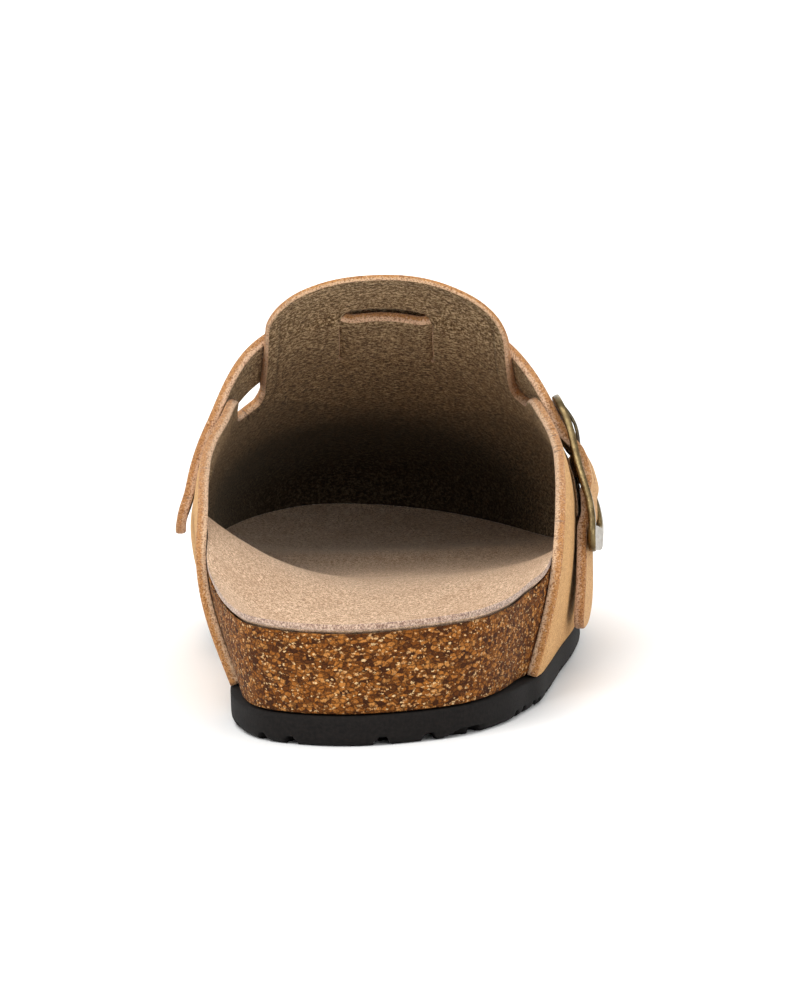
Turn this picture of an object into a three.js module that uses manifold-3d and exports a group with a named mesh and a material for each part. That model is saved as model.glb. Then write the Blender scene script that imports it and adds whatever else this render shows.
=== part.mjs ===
// A right suede clog: cork footbed on a thin lugged outsole, closed-toe upper with a high tongue,
// and one strap that threads two slits of the tongue and closes in a buckle on the outer side.
// Millimetres. +Y runs from heel to toe, +X to the outer (lateral) side, +Z up.
import * as THREE from 'three';
import { mergeVertices } from 'three/addons/utils/BufferGeometryUtils.js';
import Module from 'manifold-3d';

// Driving dimensions of the sole
const soleLength = 258;
const ballWidth = 98.5;
const soleThickness = 7;
const toeSpring = 5;
const toeSpringStart = 0.72;
const outsoleEdgeRadius = 2.2;
const treadDepth = 2;
const treadGrooveWidth = 3.4;
const treadPitch = 17;
const treadWave = 3.2;
const treadWavelength = 24;
const treadHeelLug = 13.6;

// Driving dimensions of the footbed and its cover
const insoleThickness = 1.5;
const heelSeat = 34;
const toeSeat = 52.89;
const insetStart = 0.02;
const insetEnd = 0.175;

// Driving dimensions of the upper
const upperWall = 2.5;
const instepHeight = 98;
const tongueMedialEdge = -26.5;
const tongueLateralEdge = 34.7;
const tongueEnd = 114.5;
const tongueCornerRadius = 9;
const notchEnd = 167;
const lateralNotchEnd = 156;
const notchFillet = 9;
const slitInner = -7.4;
const slitOuter = 12.4;
const slitRamp = 6;
const slitSpare = 0.6;

// Driving dimensions of the strap and buckle
const strapWidth = 25.5;
const strapThickness = 2.5;
const strapCrossing = 146.5;
const strapLean = 27;
const strapMedialReach = 80.5;
const strapLateralReach = 112;
const strapEndRadius = 11;
const strapEndLift = 2;
const strapEndRun = 10;
const strapRivetSetback = 15;
const buckleStart = 51.5;
const buckleLength = 38;
const buckleWidth = 36;
const buckleRail = 3.6;
const bucklePlate = 6;
const buckleThickness = 1.2;
const buckleCornerRadius = 6;
const windowCornerRadius = 2;
const barLength = 3.6;
const barPlace = 17.86;
const lowPlateRise = 0.4;
const prongWidth = 2.4;
const prongThickness = 1;
const tabWidth = 19;
const tabThickness = 0.7;
const tabLength = 11.5;
const tabEndMargin = 1;
const strapRivetRadius = 3.2;
const strapRivetHeight = 0.6;
const tabRivetRadius = 2.4;
const tabRivetHeight = 0.4;
const rivetShankRadius = 1.2;
const rivetBack = 0.7;

// Gaps between pieces that meet, the narrow one between the parallel faces under the buckle
const clearance = 0.3;
const stackGap = 0.25;

// Plan outline of the outsole, from the back of the heel round the lateral side, the toe and the
// medial side: along is a share of soleLength, across a share of ballWidth.
const outlineRows = [
  { along: 0.000, across: -0.040 },
  { along: 0.012, across: 0.100 },
  { along: 0.043, across: 0.223 },
  { along: 0.099, across: 0.315 },
  { along: 0.163, across: 0.370 },
  { along: 0.198, across: 0.399 },
  { along: 0.252, across: 0.420 },
  { along: 0.368, across: 0.457 },
  { along: 0.484, across: 0.497 },
  { along: 0.589, across: 0.518 },
  { along: 0.698, across: 0.508 },
  { along: 0.802, across: 0.437 },
  { along: 0.891, across: 0.315 },
  { along: 0.957, across: 0.142 },
  { along: 0.992, across: -0.051 },
  { along: 0.994, across: -0.223 },
  { along: 0.953, across: -0.355 },
  { along: 0.884, across: -0.442 },
  { along: 0.795, across: -0.477 },
  { along: 0.717, across: -0.481 },
  { along: 0.620, across: -0.452 },
  { along: 0.504, across: -0.396 },
  { along: 0.388, across: -0.350 },
  { along: 0.291, across: -0.335 },
  { along: 0.194, across: -0.345 },
  { along: 0.109, across: -0.320 },
  { along: 0.047, across: -0.254 },
  { along: 0.014, across: -0.152 },
];

// Sections of the last, heel to toe: ridge and girth are heights above the outsole as shares of
// instepHeight, medial and lateral the flare beyond the outsole's edge as shares of ballWidth.
const lastRows = [
  { along: 0.000, ridge: 1.100, girth: 0.24, medial: 0.027, lateral: 0.027 },
  { along: 0.100, ridge: 1.100, girth: 0.25, medial: 0.032, lateral: 0.028 },
  { along: 0.230, ridge: 1.080, girth: 0.30, medial: 0.082, lateral: 0.049 },
  { along: 0.370, ridge: 1.015, girth: 0.35, medial: 0.105, lateral: 0.040 },
  { along: 0.465, ridge: 0.918, girth: 0.32, medial: 0.088, lateral: 0.021 },
  { along: 0.580, ridge: 0.765, girth: 0.26, medial: 0.064, lateral: 0.022 },
  { along: 0.700, ridge: 0.625, girth: 0.21, medial: 0.036, lateral: 0.025 },
  { along: 0.810, ridge: 0.520, girth: 0.18, medial: 0.028, lateral: 0.025 },
  { along: 0.930, ridge: 0.430, girth: 0.16, medial: 0.026, lateral: 0.025 },
  { along: 1.020, ridge: 0.370, girth: 0.15, medial: 0.026, lateral: 0.025 },
];

// Exponent of the arch over the foot, heel to toe: medial and lateral over the instep, and quarter
// lower down on both sides. 2 is an ellipse, less leans in and more stands up.
const archRows = [
  { along: 0.00, medial: 2.05, lateral: 2.00, quarter: 1.75 },
  { along: 0.37, medial: 2.25, lateral: 2.18, quarter: 1.70 },
  { along: 0.45, medial: 2.25, lateral: 2.18, quarter: 1.68 },
  { along: 0.50, medial: 2.02, lateral: 1.88, quarter: 1.68 },
  { along: 0.58, medial: 1.95, lateral: 1.82, quarter: 1.75 },
  { along: 0.70, medial: 2.05, lateral: 2.00, quarter: 2.00 },
  { along: 0.81, medial: 2.20, lateral: 2.20, quarter: 2.20 },
  { along: 1.02, medial: 2.40, lateral: 2.40, quarter: 2.40 },
];

// Height of the insole above the outsole as shares of ballWidth: along the middle, and at its
// medial and lateral rims. cup is the exponent with which the surface turns up to the rims.
const footbedRows = [
  { along: 0.00, middle: 0.135, medialRim: 0.217, lateralRim: 0.217, cup: 3.4 },
  { along: 0.10, middle: 0.115, medialRim: 0.241, lateralRim: 0.228, cup: 3.4 },
  { along: 0.18, middle: 0.120, medialRim: 0.272, lateralRim: 0.248, cup: 3.2 },
  { along: 0.25, middle: 0.132, medialRim: 0.325, lateralRim: 0.275, cup: 2.8 },
  { along: 0.37, middle: 0.158, medialRim: 0.360, lateralRim: 0.252, cup: 2.1 },
  { along: 0.47, middle: 0.150, medialRim: 0.320, lateralRim: 0.205, cup: 2.2 },
  { along: 0.58, middle: 0.122, medialRim: 0.235, lateralRim: 0.178, cup: 2.8 },
  { along: 0.68, middle: 0.114, medialRim: 0.178, lateralRim: 0.156, cup: 3.2 },
  { along: 0.75, middle: 0.126, medialRim: 0.165, lateralRim: 0.148, cup: 3.4 },
  { along: 0.84, middle: 0.108, medialRim: 0.157, lateralRim: 0.137, cup: 3.4 },
  { along: 1.00, middle: 0.108, medialRim: 0.148, lateralRim: 0.130, cup: 3.4 },
];

// Rear edge and ears of the quarters in the side view: along is a share of soleLength, medial and
// lateral are heights above the outsole as shares of instepHeight.
const toplineRows = [
  { along: 0.180, medial: -0.060, lateral: -0.060 },
  { along: 0.190, medial: 0.040, lateral: 0.040 },
  { along: 0.200, medial: 0.120, lateral: 0.120 },
  { along: 0.218, medial: 0.215, lateral: 0.215 },
  { along: 0.243, medial: 0.305, lateral: 0.303 },
  { along: 0.280, medial: 0.385, lateral: 0.382 },
  { along: 0.335, medial: 0.460, lateral: 0.453 },
  { along: 0.400, medial: 0.535, lateral: 0.522 },
  { along: 0.455, medial: 0.595, lateral: 0.577 },
  { along: 0.485, medial: 0.620, lateral: 0.600 },
  { along: 0.505, medial: 0.618, lateral: 0.600 },
  { along: 0.530, medial: 0.590, lateral: 0.588 },
  { along: 0.570, medial: 0.560, lateral: 0.572 },
  { along: 0.610, medial: 0.535, lateral: 0.565 },
];

// Heights over the upper's outer face that the pieces round the buckle stack up to
const insideDepth = -(upperWall + clearance + strapThickness);
const barAlong = buckleStart + barPlace;
const barBottom = stackGap + tabThickness + stackGap;
const barTop = barBottom + buckleThickness;
const humpHeight = barTop + stackGap + prongThickness + stackGap;
const tabEnd = barAlong + tabLength;
const tabRivetAlong = tabEnd - tabRivetRadius - tabEndMargin;
const tailHeight = stackGap + tabThickness + stackGap + tabRivetHeight + stackGap;
const plateTopHeight = strapThickness + 2 * clearance;
const plateLowHeight = plateTopHeight + lowPlateRise;
const medialRivetAlong = strapRivetSetback - strapMedialReach;

// Route of the strap: along is the distance from the ridge towards the lateral side, under the
// height of its inner face over the upper.
const strapRows = [
  { along: -strapMedialReach, under: clearance + strapEndLift },
  { along: strapEndRun - strapMedialReach, under: clearance },
  { along: slitInner - slitRamp / 2, under: clearance },
  { along: slitInner + slitRamp / 2, under: insideDepth },
  { along: slitOuter - slitRamp / 2, under: insideDepth },
  { along: slitOuter + slitRamp / 2, under: clearance },
  { along: buckleStart + bucklePlate, under: clearance },
  { along: barAlong - barLength, under: humpHeight },
  { along: barAlong + barLength / 2 + 2, under: humpHeight },
  { along: tabRivetAlong - tabRivetRadius, under: tailHeight + clearance },
  { along: tabEnd, under: tailHeight },
  { along: buckleStart + buckleLength - bucklePlate, under: clearance },
  { along: strapLateralReach, under: clearance },
];

// Resolution of the curved faces
const sideSteps = 17;
const heelSteps = 14;
const toeSteps = 16;
const wallSteps = 4;
const archSteps = 9;
const floorShares = [1, 0.93, 0.84, 0.7, 0.5, 0.26, 0];
const plateShares = [0, 0.5];
const bandColumns = 4;
const bandStep = 2.8;
const rivetSides = 12;
const buckleStep = 2.2;

// How far the tools that cut holes and grooves reach beyond the face they cut
const toolDepth = 10;

const wasm = await Module();
wasm.setup();

// Value of one named column at a place, smooth between the rows
function column(rows, name, place) {
  const last = rows.length - 1;
  if (place <= rows[0].along) return rows[0][name];
  if (place >= rows[last].along) return rows[last][name];
  let i = 0;
  while (place > rows[i + 1].along) i += 1;
  const before = rows[Math.max(i - 1, 0)];
  const here = rows[i];
  const next = rows[i + 1];
  const after = rows[Math.min(i + 2, last)];
  const step = next.along - here.along;
  const t = (place - here.along) / step;
  const leave = ((next[name] - before[name]) / (next.along - before.along)) * step;
  const arrive = ((after[name] - here[name]) / (after.along - here.along)) * step;
  return (2 * t ** 3 - 3 * t ** 2 + 1) * here[name] + (t ** 3 - 2 * t ** 2 + t) * leave
    + (3 * t ** 2 - 2 * t ** 3) * next[name] + (t ** 3 - t ** 2) * arrive;
}

function smooth(from, to, value) {
  const t = THREE.MathUtils.clamp((value - from) / (to - from), 0, 1);
  return t * t * (3 - 2 * t);
}

// The same skin with its shared corners merged and its collapsed faces dropped
function merged(geometry) {
  const bare = geometry.clone();
  bare.deleteAttribute('normal');
  bare.deleteAttribute('uv');
  const skin = mergeVertices(bare, 1e-3);
  const corners = skin.index.array;
  const kept = [];
  for (let i = 0; i < corners.length; i += 3) {
    const [a, b, c] = [corners[i], corners[i + 1], corners[i + 2]];
    if (a !== b && b !== c && c !== a) kept.push(a, b, c);
  }
  skin.setIndex(kept);
  return skin;
}

// Closed mesh from a list of triangles, its faces turned outwards
function closedGeometry(triangles) {
  const soup = new THREE.BufferGeometry();
  soup.setAttribute('position', new THREE.Float32BufferAttribute(triangles.flat().flatMap((p) => p.toArray()), 3));
  const skin = merged(soup);
  const corners = Array.from(skin.index.array);
  const at = (i) => new THREE.Vector3().fromBufferAttribute(skin.attributes.position, corners[i]);
  let volume = 0;
  for (let i = 0; i < corners.length; i += 3) volume += at(i).dot(at(i + 1).cross(at(i + 2)));
  if (volume < 0) skin.setIndex(corners.reverse());
  return skin;
}

function toManifold(geometry) {
  const skin = merged(geometry);
  return new wasm.Manifold(new wasm.Mesh({
    numProp: 3,
    vertProperties: new Float32Array(skin.attributes.position.array),
    triVerts: new Uint32Array(skin.index.array),
  }));
}

function fromManifold(solid) {
  const mesh = solid.getMesh();
  const geometry = new THREE.BufferGeometry();
  geometry.setAttribute('position', new THREE.Float32BufferAttribute(Array.from(mesh.vertProperties), 3));
  geometry.setIndex(Array.from(mesh.triVerts));
  return geometry;
}

function cut(body, ...tools) {
  return fromManifold(tools.reduce((solid, tool) => solid.subtract(toManifold(tool)), toManifold(body)));
}

// Triangles between neighbouring rows of points
function between(rows, closed) {
  const triangles = [];
  for (let i = 0; i + 1 < rows.length; i += 1) {
    const count = rows[i].length;
    for (let j = 0; j < (closed ? count : count - 1); j += 1) {
      const k = (j + 1) % count;
      triangles.push([rows[i][j], rows[i + 1][j], rows[i + 1][k]], [rows[i][j], rows[i + 1][k], rows[i][k]]);
    }
  }
  return triangles;
}

// Solid with rings of points as its skin, the first and the last ring shrunk onto the spine
function ringSolid(rings) {
  return closedGeometry(between(rings, true));
}

// Plan outline as a dense polygon
const outlineCurve = new THREE.CatmullRomCurve3(
  outlineRows.map((row) => new THREE.Vector3(row.across * ballWidth, row.along * soleLength, 0)),
  true,
  'centripetal',
);
const outlineDensity = 480;
const outlinePoints = outlineCurve.getSpacedPoints(outlineDensity).slice(0, outlineDensity);

// The spine runs from the middle of the heel to the middle of the toes
const spineHeel = heelSeat;
const spineToe = soleLength - toeSeat;
function spineAcross(y) {
  return ballWidth * (0.022 - 0.1 * Math.max(0, y / soleLength - 0.465));
}

// Where a ray from a spine point meets the outline
function reach(start, direction) {
  let best = 0;
  for (let i = 0; i < outlineDensity; i += 1) {
    const a = outlinePoints[i].clone().sub(start);
    const b = outlinePoints[(i + 1) % outlineDensity].clone().sub(start);
    const sideA = direction.x * a.y - direction.y * a.x;
    const sideB = direction.x * b.y - direction.y * b.x;
    if (sideA * sideB > 0 || sideA === sideB) continue;
    const distance = a.lerp(b, sideA / (sideA - sideB)).dot(direction);
    best = Math.max(best, distance);
  }
  return best;
}

function station(y, angle) {
  const start = new THREE.Vector3(spineAcross(y), y, 0);
  const direction = new THREE.Vector3(Math.cos(angle), Math.sin(angle), 0);
  const length = reach(start, direction);
  return { start, direction, length, y: y + direction.y * length };
}

// Stations round the shoe: up the medial side, round the toe, down the lateral side, round the heel
const sideStep = (spineToe - spineHeel) / sideSteps;
const sidePlaces = Array.from({ length: sideSteps + 1 }, (_, i) => spineHeel + sideStep * i);
const medialStations = sidePlaces.map((y) => station(y, Math.PI));
const lateralStations = sidePlaces.map((y) => station(y, 0)).reverse();
const sharesBetween = (steps) => Array.from({ length: steps - 1 }, (_, i) => (i + 1) / steps);
const toeStations = sharesBetween(toeSteps).map((share) => station(spineToe, Math.PI * (1 - share)));
const heelStations = sharesBetween(heelSteps).map((share) => station(spineHeel, -Math.PI * share));
const upperStations = [...medialStations, ...toeStations, ...lateralStations];
const allStations = [...upperStations, ...heelStations];

// Rise of the whole shoe towards the toe
function spring(y) {
  const share = (y / soleLength - toeSpringStart) / (1 - toeSpringStart);
  return toeSpring * Math.max(0, share) ** 2;
}

function ridgeHeight(y) {
  return soleThickness + spring(y) + instepHeight * column(lastRows, 'ridge', y / soleLength);
}

function medialShare(direction) {
  return 0.5 - 0.5 * direction.x;
}

// Value of two columns, the medial and the lateral one, mixed by the side that a place is on
function sideColumn(rows, medialName, lateralName, place) {
  const along = place.y / soleLength;
  const share = medialShare(place.direction);
  return THREE.MathUtils.lerp(column(rows, lateralName, along), column(rows, medialName, along), share);
}

function flareAt(place) {
  return ballWidth * sideColumn(lastRows, 'medial', 'lateral', place);
}

function girthAbove(place) {
  return instepHeight * column(lastRows, 'girth', place.y / soleLength);
}

// Point of the last's surface. level runs from -1 at the outsole over 0 at the girth to 1 at the
// ridge, and inset moves the point inwards.
function lastPoint(place, level, inset = 0) {
  const base = soleThickness + clearance + spring(place.y);
  const girth = base + girthAbove(place);
  const flare = flareAt(place);
  const point = place.start.clone();
  if (level < 0) {
    point.addScaledVector(place.direction, place.length + flare * Math.sin((1 + level) * Math.PI / 2) - inset);
    point.z = THREE.MathUtils.lerp(base, girth, 1 + level);
    return point;
  }
  const over = sideColumn(archRows, 'medial', 'lateral', place);
  const quarter = column(archRows, 'quarter', place.y / soleLength);
  const exponent = 2 / THREE.MathUtils.lerp(quarter, over, smooth(0.3, 0.6, level));
  const angle = level * Math.PI / 2;
  const out = Math.max(0, Math.cos(angle)) ** exponent;
  point.addScaledVector(place.direction, (place.length + flare - inset) * out);
  const slope = (ridgeHeight(point.y + 1) - ridgeHeight(point.y - 1)) / 2;
  const top = ridgeHeight(point.y) - inset * Math.hypot(1, slope);
  point.z = girth + (top - girth) * Math.sin(angle) ** exponent;
  return point;
}

// How far the footbed's side stays inside the last: flush at the heel, under the leather in front
function footbedInset(y) {
  return THREE.MathUtils.lerp(clearance, upperWall + clearance, smooth(insetStart, insetEnd, y / soleLength));
}

function footbedRim(place) {
  return soleThickness + spring(place.y) + ballWidth * sideColumn(footbedRows, 'medialRim', 'lateralRim', place);
}

// Side of the footbed at a height
function footbedSide(place, height) {
  const base = soleThickness + clearance + spring(place.y);
  const level = Math.min(0, (height - base) / girthAbove(place) - 1);
  const point = lastPoint(place, level, footbedInset(place.y));
  point.z = height;
  return point;
}

// Point of the insole's top face, or of a face under it. share runs from 0 on the spine to 1 at the rim.
function floorPoint(place, share, under) {
  const rim = footbedSide(place, footbedRim(place) - under);
  const point = place.start.clone().lerp(rim, share);
  const along = point.y / soleLength;
  const middle = soleThickness + spring(point.y) + ballWidth * column(footbedRows, 'middle', along);
  const cup = column(footbedRows, 'cup', along);
  point.z = middle + (footbedRim(place) - middle) * share ** cup - under;
  return point;
}

const floorRings = (under) => floorShares.map((share) => allStations.map((place) => floorPoint(place, share, under)));

// Level ring over the outsole's plan, a share of the way out and then an offset further
function flatRing(share, offset, height) {
  return allStations.map((place) => {
    const point = place.start.clone().addScaledVector(place.direction, place.length * share + offset);
    point.z = height + spring(point.y);
    return point;
  });
}

// Outsole: a level plate with a rounded lower edge, a little toe spring and waved grooves across
function grooveGeometry(place) {
  const steps = 9;
  const beyond = 0.3 * ballWidth;
  const side = (offset) => Array.from({ length: steps + 1 }, (_, i) => {
    const x = (ballWidth + beyond) * (i / steps - 0.5);
    const y = place + offset + treadWave * Math.sin((2 * Math.PI * x) / treadWavelength);
    return new THREE.Vector2(x, y);
  });
  const shape = new THREE.Shape([...side(-treadGrooveWidth / 2), ...side(treadGrooveWidth / 2).reverse()]);
  const groove = new THREE.ExtrudeGeometry(shape, { depth: treadDepth + toolDepth, bevelEnabled: false });
  groove.translate(0, 0, spring(place) - toolDepth);
  return groove;
}

function outsoleGeometry() {
  const plate = ringSolid([
    ...plateShares.map((share) => flatRing(share, 0, 0)),
    flatRing(1, -outsoleEdgeRadius, 0),
    flatRing(1, -0.3 * outsoleEdgeRadius, 0.3 * outsoleEdgeRadius),
    flatRing(1, 0, outsoleEdgeRadius),
    flatRing(1, 0, soleThickness),
    ...plateShares.toReversed().map((share) => flatRing(share, 0, soleThickness)),
  ]);
  const grooves = [];
  for (let y = treadHeelLug; y < soleLength - treadPitch / 2; y += treadPitch) grooves.push(grooveGeometry(y));
  return cut(plate, ...grooves);
}

// Footbed: cork with a deep heel cup, a medial arch flank, raised rims and a toe bar
function footbedGeometry() {
  const under = insoleThickness + clearance;
  const levels = [0, 0.35, 0.7];
  const base = soleThickness + clearance;
  const bottom = plateShares.map((share) => allStations.map((place) => {
    const point = place.start.clone().addScaledVector(place.direction, (place.length - footbedInset(place.y)) * share);
    point.z = base + spring(point.y);
    return point;
  }));
  const side = levels.map((level) => allStations.map((place) => {
    const low = base + spring(place.y);
    return footbedSide(place, THREE.MathUtils.lerp(low, footbedRim(place) - under, level));
  }));
  return ringSolid([...bottom, ...side, ...floorRings(under)]);
}

// Insole: one skin over the whole footbed
function insoleGeometry() {
  return ringSolid([...floorRings(insoleThickness).reverse(), ...floorRings(0)]);
}

// Upper: one hollow wall round the last, cut back to the quarters, the notches and the tongue
function shellGeometry() {
  const levels = [];
  for (let i = 0; i < wallSteps; i += 1) levels.push(i / wallSteps - 1);
  for (let i = 0; i <= archSteps; i += 1) levels.push(i / archSteps);
  const sheet = (inset) => upperStations.map((place) => levels.map((level) => lastPoint(place, level, inset)));
  const outer = sheet(0);
  const inner = sheet(upperWall);
  const rim = (rows) => rows.map((row) => row[0]);
  return closedGeometry([
    ...between(outer, false),
    ...between(inner, false).map((face) => face.reverse()),
    ...between([rim(outer), rim(inner)], false),
    ...between([inner[0], outer[0]], false),
    ...between([outer.at(-1), inner.at(-1)], false),
  ]);
}

// Prism over one half of the shoe, of everything behind and above its topline. side is the name of
// the half's height column and end the place where its notch ends.
function toplineTool(side, end) {
  const high = 2 * instepHeight;
  const curve = new THREE.SplineCurve(toplineRows.filter((row) => row.along * soleLength < end - notchFillet)
    .map((row) => new THREE.Vector2(row.along * soleLength, soleThickness + row[side] * instepHeight)));
  const bend = curve.getPoints(3 * (curve.points.length - 1));
  const low = bend.at(-1);
  const corner = new THREE.QuadraticBezierCurve(
    low,
    new THREE.Vector2(end, low.y - 0.3 * notchFillet),
    new THREE.Vector2(end, low.y + 1.2 * notchFillet),
  );
  const shape = new THREE.Shape([
    ...bend,
    ...corner.getPoints(4).slice(1),
    new THREE.Vector2(end, high),
    new THREE.Vector2(-soleLength, high),
    new THREE.Vector2(-soleLength, bend[0].y),
  ]);
  const tool = new THREE.ExtrudeGeometry(shape, { depth: ballWidth, bevelEnabled: false });
  tool.applyMatrix4(new THREE.Matrix4().makeBasis(
    new THREE.Vector3(0, 1, 0),
    new THREE.Vector3(0, 0, 1),
    new THREE.Vector3(1, 0, 0),
  ));
  if (side === 'medial') tool.translate(-ballWidth, 0, 0);
  return tool;
}

// Upright prism over the tongue's plan, which the topline spares
function tongueTool() {
  const high = 2 * instepHeight;
  const shape = new THREE.Shape();
  const left = tongueMedialEdge;
  const right = tongueLateralEdge;
  const round = tongueCornerRadius;
  const front = notchEnd + 3 * notchFillet;
  shape.moveTo(left - notchFillet, front);
  shape.lineTo(left - notchFillet, notchEnd);
  shape.quadraticCurveTo(left, notchEnd, left, notchEnd - notchFillet);
  shape.lineTo(left, tongueEnd + round);
  shape.absarc(left + round, tongueEnd + round, round, Math.PI, 1.5 * Math.PI, false);
  shape.absarc(right - round, tongueEnd + round, round, 1.5 * Math.PI, 2 * Math.PI, false);
  shape.lineTo(right, lateralNotchEnd - notchFillet);
  shape.quadraticCurveTo(right, lateralNotchEnd, right + notchFillet, lateralNotchEnd);
  shape.lineTo(right + notchFillet, front);
  const tool = new THREE.ExtrudeGeometry(shape, { depth: 2 * high, bevelEnabled: false, curveSegments: 6 });
  tool.translate(0, 0, -high / 2);
  return tool;
}

// The strap's own axes: along it from the ridge to the lateral side, across it to the toe, and
// up from the upper's outer face.
const lean = THREE.MathUtils.degToRad(strapLean);
const acrossAxis = new THREE.Vector3(0, Math.cos(lean), -Math.sin(lean));
const strapOrigin = new THREE.Vector3(0, strapCrossing, ridgeHeight(strapCrossing));

function crossing(angle, level, across) {
  let low = spineHeel;
  let high = spineToe;
  let point = null;
  for (let i = 0; i < 30; i += 1) {
    const middle = (low + high) / 2;
    point = lastPoint(strapStation(middle, angle), level);
    if (point.clone().sub(strapOrigin).dot(acrossAxis) > across) high = middle;
    else low = middle;
  }
  return point;
}

// Stations between the sampled ones, so that the strap lies on the same facets as the upper
function strapStation(y, angle) {
  const list = angle === 0 ? lateralStations : medialStations;
  const order = angle === 0 ? list.toReversed() : list;
  const i = THREE.MathUtils.clamp(Math.floor((y - spineHeel) / sideStep), 0, sideSteps - 1);
  const t = (y - order[i].y) / sideStep;
  return {
    start: order[i].start.clone().lerp(order[i + 1].start, t),
    direction: order[i].direction,
    length: THREE.MathUtils.lerp(order[i].length, order[i + 1].length, t),
    y,
  };
}

// Level on the last for each distance from the ridge, measured along the strap's middle
function levelTable(angle) {
  const steps = 90;
  const table = [{ along: 0, level: 1 }];
  let last = crossing(angle, 1, 0);
  for (let i = 1; i <= steps; i += 1) {
    const level = 1 - (2 * i) / steps;
    const point = crossing(angle, level, 0);
    table.push({ along: table.at(-1).along + point.distanceTo(last), level });
    last = point;
  }
  return table;
}
const levelTables = { lateral: levelTable(0), medial: levelTable(Math.PI) };

function onLast(along, across) {
  const table = along < 0 ? levelTables.medial : levelTables.lateral;
  const far = Math.abs(along);
  let i = 0;
  while (i < table.length - 2 && far > table[i + 1].along) i += 1;
  const t = (far - table[i].along) / (table[i + 1].along - table[i].along);
  const level = THREE.MathUtils.lerp(table[i].level, table[i + 1].level, Math.min(t, 1));
  return crossing(along < 0 ? Math.PI : 0, level, across);
}

function strapPoint(along, across, up) {
  const step = 0.8;
  const run = onLast(along + step, across).sub(onLast(along - step, across));
  const spread = onLast(along, across + step).sub(onLast(along, across - step));
  const outwards = run.cross(spread).normalize();
  return onLast(along, across).addScaledVector(outwards, up);
}

// Band laid on the upper: path is a list of { along, up } of its middle, bent with real thickness
function bandGeometry(path, thickness, halfWidthAt, columns) {
  const rings = path.map((here, i) => {
    const before = path[Math.max(i - 1, 0)];
    const after = path[Math.min(i + 1, path.length - 1)];
    const run = Math.hypot(after.along - before.along, after.up - before.up);
    const leanBack = ((after.up - before.up) / run) * (thickness / 2);
    const lift = ((after.along - before.along) / run) * (thickness / 2);
    const half = halfWidthAt(here.along);
    const row = (sign) => Array.from({ length: columns + 1 }, (_, k) => strapPoint(
      here.along - sign * leanBack,
      half * ((2 * k) / columns - 1) * sign,
      here.up + sign * lift,
    ));
    return [...row(1), ...row(-1)];
  });
  const strip = (ring) => {
    const faces = [];
    for (let k = 0; k < columns; k += 1) {
      const [a, b, c, d] = [ring[k], ring[k + 1], ring[2 * columns - k], ring[2 * columns + 1 - k]];
      faces.push([a, b, c], [a, c, d]);
    }
    return faces;
  };
  return closedGeometry([
    ...between(rings, true),
    ...strip(rings[0]),
    ...strip(rings.at(-1)).map((face) => face.reverse()),
  ]);
}

// Smooth path through rows of { along, under }, lifted to the middle of the band
function pathThrough(rows, thickness, step) {
  const path = [{ along: rows[0].along, up: rows[0].under + thickness / 2 }];
  for (let k = 0; k + 1 < rows.length; k += 1) {
    const [here, next] = [rows[k], rows[k + 1]];
    const count = Math.ceil((next.along - here.along) / step);
    for (let i = 1; i <= count; i += 1) {
      const under = THREE.MathUtils.lerp(here.under, next.under, smooth(0, 1, i / count));
      path.push({ along: THREE.MathUtils.lerp(here.along, next.along, i / count), up: under + thickness / 2 });
    }
  }
  return path;
}

function roundEnd(half, radius, distance) {
  const cutBack = Math.max(0, radius - distance);
  return half - radius + Math.sqrt(Math.max(0.04, radius ** 2 - cutBack ** 2));
}

function strapHalfWidth(along) {
  const half = strapWidth / 2;
  return Math.min(
    roundEnd(half, strapEndRadius, along + strapMedialReach),
    roundEnd(half, strapEndRadius, strapLateralReach - along),
  );
}

const prongHoleStart = buckleStart + bucklePlate + prongThickness;
const prongHoleEnd = barAlong - barLength / 2 + 3 * prongThickness;

function strapGeometry() {
  const path = pathThrough(strapRows, strapThickness, bandStep);
  const band = bandGeometry(path, strapThickness, strapHalfWidth, bandColumns);
  const hole = bandGeometry(
    [{ along: prongHoleStart, up: toolDepth / 2 }, { along: prongHoleEnd, up: toolDepth / 2 }],
    toolDepth + 2 * strapThickness,
    () => prongWidth / 2 + 2 * clearance,
    1,
  );
  return cut(band, hole, rivetHole(medialRivetAlong));
}

// Slits of the tongue that the strap passes through
function slitTool(place) {
  const half = strapWidth / 2 + 2 * clearance;
  const reachBack = slitRamp / 2 + slitSpare;
  const path = [-1, -0.33, 0.33, 1].map((share) => ({ along: place + share * reachBack, up: -upperWall / 2 }));
  return bandGeometry(path, toolDepth, () => half, bandColumns);
}

// Rivets: a domed head outside and a flat one inside the quarter, on one shank
function rivetAt(along, geometry) {
  const foot = strapPoint(along, 0, 0);
  const outwards = strapPoint(along, 0, 1).sub(foot).normalize();
  const turn = new THREE.Quaternion().setFromUnitVectors(new THREE.Vector3(0, 1, 0), outwards);
  return geometry.applyQuaternion(turn).translate(foot.x, foot.y, foot.z);
}

function rivetHole(along) {
  const radius = rivetShankRadius + clearance;
  return rivetAt(along, new THREE.CylinderGeometry(radius, radius, 1.6 * toolDepth, rivetSides));
}

function rivetGeometry(along, stack, radius, height) {
  const inside = -(upperWall + clearance);
  const outside = stack + stackGap;
  const domeSteps = 3;
  const dome = Array.from({ length: domeSteps }, (_, i) => {
    const angle = (i / domeSteps) * Math.PI / 2;
    return new THREE.Vector2(radius * Math.cos(angle), outside + height * Math.sin(angle));
  });
  const profile = [
    new THREE.Vector2(0, inside - rivetBack),
    new THREE.Vector2(radius, inside - rivetBack),
    new THREE.Vector2(radius, inside),
    new THREE.Vector2(rivetShankRadius, inside),
    new THREE.Vector2(rivetShankRadius, outside),
    ...dome,
    new THREE.Vector2(0, outside + height),
  ];
  return rivetAt(along, closedGeometry(lathe(profile, rivetSides)));
}

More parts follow.
